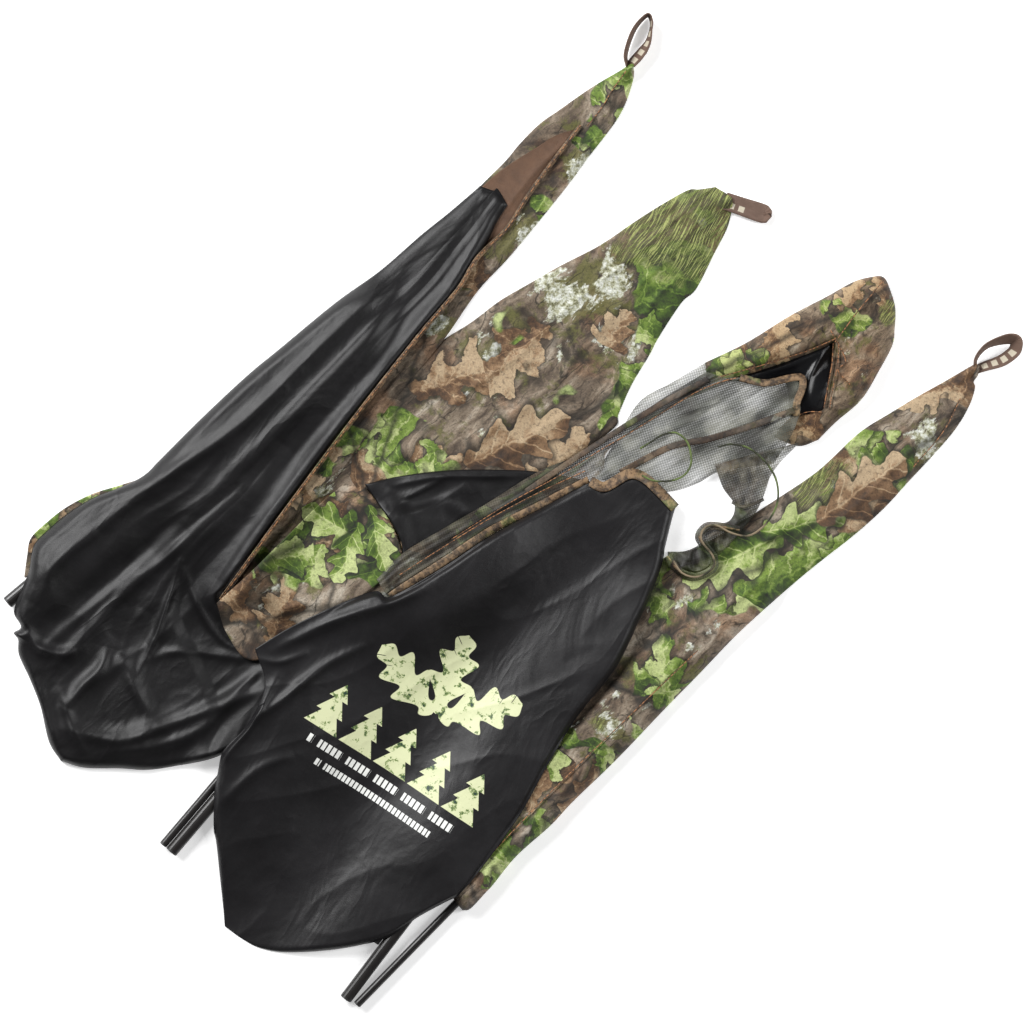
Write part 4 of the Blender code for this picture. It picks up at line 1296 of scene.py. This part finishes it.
def make_panel(printed, binding):
    """The large printed panel on top, which also gives poles 2 and 3 room to slide."""
    cover_pole(3)
    ground.cover_node("pole_3_sleeve")
    for aside in ((7 * MM, -6 * MM), (14 * MM, -12 * MM)):
        ground.cover_node("pole_2_thick_section", aside)
    head = [
        (-345, -188), (-300, -160), (-240, -131), (-184, -110), (-161, -117), (-90, -77),
        (-28, -36), (40, 1), (107, 36), (127, 29), (159, 47), (180, 43), (223, 3),
    ]
    right = [
        (223, 3), (219, -9), (209, -49), (202, -82), (185, -126), (174, -149), (142, -214),
        (89, -281), (51, -342), (12, -412), (-42, -487), (-72, -522),
    ]
    foot = [
        (-388, -565), (-363, -583), (-338, -595), (-300, -600), (-232, -595), (-171, -580),
        (-122, -549), (-72, -522),
    ]
    left = [
        (-345, -188), (-332, -238), (-356, -290), (-384, -320), (-393, -336), (-398, -364),
        (-401, -380), (-402, -430), (-399, -453), (-395, -491), (-390, -540), (-388, -565),
    ]
    panel = Cloth("lower_panel_cloth", left, right, head, foot)
    panel.rest_on_ground(54 * MM)
    joined = np.clip((0.30 - panel.u) / 0.10, 0, 1) * np.clip(2 - 6 * panel.v, 0, 1)
    full = np.maximum(panel.rounded(12 * MM), joined)
    panel.z = panel.z * (0.35 + 0.65 * full) + 1 * MM
    panel.ridges(
        (8, 9, [(-320, -190), (-240, -150), (-160, -125), (-100, -100)]),
        (7, 8, [(-360, -290), (-310, -258), (-250, -210), (-190, -180)]),
        (4, 6, [(-345, -200), (-310, -205), (-270, -190)]),
        (8, 7, [(-392, -340), (-350, -290), (-315, -225)]),
        (5, 9, [(-395, -400), (-340, -350), (-290, -330)]),
    )
    panel.z += full * 1.8 * MM * panel.noise(90 * MM, 20.0, 2.0, 60)
    panel.z += full * 1.2 * MM * panel.creases(70 * MM, 21.0, 2.5, 30)
    panel.clear_ground()
    piece = panel.piece(printed)
    settle(piece, "bundle", ["lower_panel", "pole_3_sleeve"])
    border = [(107, 38), (127, 31), (159, 48), (180, 43), (201, 24), (222, 2)]
    nodes = ["lower_panel_hem"]
    hem = tape("lower_panel_tape", border, 14, binding, "bundle", "camo_cloth", nodes, 1.4, 0.3)


def make_loop(name, node, route, material):
    """Webbing sewn back on itself. A point on its route ends with its tilt from upright."""
    steps, across = 90, 7
    low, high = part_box(node)
    places = [point[:2] for point in route]
    line = np.column_stack([spaced(plan(places), steps), np.zeros(steps)])
    ahead = np.gradient(line, axis=0)
    ahead /= np.linalg.norm(ahead, axis=1)[:, None]
    outward = np.stack([-ahead[:, 1], ahead[:, 0], np.zeros(steps)], axis=1)
    run = np.concatenate([[0], np.cumsum(np.linalg.norm(np.diff(line, axis=0), axis=1))])
    marks = np.linspace(0, run[-1], len(route))
    tilt = np.radians(np.interp(run, marks, [point[2] for point in route]))
    spread = outward * np.sin(tilt)[:, None] + np.array([0, 0, 1.0]) * np.cos(tilt)[:, None]
    shares = (np.arange(across) / (across - 1) - 0.5) * WEBBING_WIDTH
    points = line[:, None] + spread[:, None] * shares[None, :, None]
    points[..., 2] = np.maximum(points[..., 2] + (low.z + high.z) / 2, 1 * MM)
    flat = np.zeros((steps * across, 3))
    flat[:, 0] = np.repeat(run, across)
    flat[:, 1] = np.tile(shares, steps)
    corner = (np.arange(steps - 1)[:, None] * across + np.arange(across - 1)).ravel()
    faces = np.stack([corner, corner + across, corner + across + 1, corner + 1], axis=1)
    data = bpy.data.meshes.new(name)
    data.from_pydata(points.reshape(-1, 3).tolist(), [], faces.tolist())
    data.materials.append(material)
    data.polygons.foreach_set("use_smooth", [True] * len(faces))
    store(data, "cloth", flat)
    made = bpy.data.objects.new(name, data)
    bpy.context.scene.collection.objects.link(made)
    thick = made.modifiers.new("thickness", "SOLIDIFY")
    thick.thickness = 1.4 * MM
    thick.offset = 0.0
    settle(made, node, [node])


def make_loops(webbing):
    """The loops at the tips of the first, second and fourth arms."""
    first = [
        (158, 599, 14), (155, 613, 14), (159, 631, 14), (167, 650, 14), (177, 663, 12),
        (186, 669, 10), (190, 659, 8), (188, 643, 8), (185, 632, 20), (179, 622, 38),
        (171, 612, 42), (159, 599, 35),
    ]
    make_loop("loop_1_webbing", "loop_1", first, webbing)
    second = [
        (290, 420, 85), (312, 413, 85), (341, 404, 85), (343, 400, 85), (340, 398, 85),
        (312, 408, 85), (290, 416, 85),
    ]
    make_loop("loop_2_webbing", "loop_2", second, webbing)
    fourth = [
        (628, 194, 16), (629, 203, 16), (635, 213, 18), (645, 222, 22), (660, 228, 30),
        (675, 231, 40), (684, 228, 45), (682, 216, 52), (674, 208, 52), (665, 202, 50),
        (655, 198, 44), (642, 194, 38), (629, 189, 30),
    ]
    make_loop("loop_4_webbing", "loop_4", fourth, webbing)


def make_cord(name, route, material):
    """A limp drawcord that goes back into the net at both ends."""
    line = spaced(plan(route), 60)
    curve = bpy.data.curves.new(name, "CURVE")
    curve.dimensions = "3D"
    curve.bevel_depth = CORD_DIAMETER / 2
    curve.bevel_resolution = 4
    curve.use_fill_caps = True
    spline = curve.splines.new("POLY")
    spline.points.add(len(line) - 1)
    for knot, spot in zip(spline.points, line):
        knot.co = (*spot, 1)
    curve.materials.append(material)
    made = bpy.data.objects.new(name, curve)
    bpy.context.scene.collection.objects.link(made)
    settle(made, "bundle", [name.replace("_cord", "")])


def make_cords():
    """The two drawcords of the net, along the routes that they have in the CAD model."""
    beige = (0.25, 0.19, 0.12)
    green = cord_material("green_cord", (0.022, 0.024, 0.012), (0.13, 0.18, 0.05), beige)
    short = [
        (174, 82, 35), (190, 92, 35), (205, 101, 35), (223, 103, 35), (238, 90, 35), (243, 66, 35),
        (237, 50, 36), (224, 41, 39), (208, 38, 41.4), (191, 39, 41.4), (176, 46, 41.4),
    ]
    make_cord("drawcord_short_cord", short, green)
    long = [
        (279, 84, 35), (296, 88, 35), (320, 83, 35), (344, 63, 35), (358, 38, 35), (359, 9, 33),
        (345, -18, 30), (322, -35, 30), (298, -32, 32), (276, -21, 31), (260, -26, 30),
        (257, -42, 30), (272, -62, 30), (273, -78, 30), (252, -91, 30), (231, -86, 30),
        (219, -69, 30),
    ]
    make_cord("drawcord_long_cord", long, green)


def finish_cad_nodes():
    """Better materials on the tubes, their caps and their elastic cords."""
    finishes = {
        "pole_coat": tube_material(),
        "black_plastic": plastic_material(),
        "elastic_cord": cord_material("elastic_braid", (0.012,) * 3, (0.05,) * 3, (0.05,) * 3),
    }
    for node in frame["nodes"].values():
        if node.hide_render:
            continue
        name = node.data.materials[0].name.split(".")[0]
        if name in finishes:
            node.data.materials[0] = finishes[name]
            node.data.polygons.foreach_set("use_smooth", [True] * len(node.data.polygons))
            node.data.set_sharp_from_angle(angle=math.radians(40))


def main():
    make_camera(*cad_box)
    make_cords()
    make_studio()
    camo = camo_material("camo_print", 1.0, (0.65, 0.62, 0.59))
    hood_camo = camo_material("hood_print", 1.5, (0.60, 0.46, 0.28))
    black = black_material(
        "coated_black", (0.0030, 0.0027, 0.0031), (0.0062, 0.0057, 0.0065), 0.47, 48.0
    )
    gloss = black_material("glossy_black", (0.004, 0.004, 0.005), (0.008, 0.008, 0.009), 0.24, 30.0)
    printed = printed_material()
    brown = brown_material()
    binding = binding_material("printed_tape", (0.026, 0.014, 0.007), (0.27, 0.170, 0.088))
    dark_binding = binding_material("dark_tape", (0.011, 0.008, 0.006), (0.062, 0.041, 0.028))
    thread = stitch_material()
    net = net_material("window_netting", (0.045, 0.048, 0.036), (0.15, 0.15, 0.12), 0.56, 0.84)
    printed_net = net_material(
        "printed_netting", (0.016, 0.014, 0.010), (0.10, 0.092, 0.066), 0.52, 0.88, 0.18
    )
    dark_net = net_material(
        "dark_netting", (0.014, 0.013, 0.009), (0.075, 0.070, 0.045), 0.66, 0.94, 0.16
    )
    webbing = webbing_material()
    make_arm_2(camo)
    make_arm_4_join(black)
    make_arm_4(camo, thread)
    make_arm_1(camo, brown)
    make_rim(camo)
    make_black_cloth(black, binding, thread)
    make_patch(camo)
    make_upper_cloth(black)
    make_hood(hood_camo, gloss, thread)
    make_window_net(net, binding, dark_binding)
    make_strip_net(printed_net, binding, dark_binding, thread)
    make_skirt(dark_net, binding)
    make_panel(printed, binding)
    make_loops(webbing)
    finish_cad_nodes()


main()
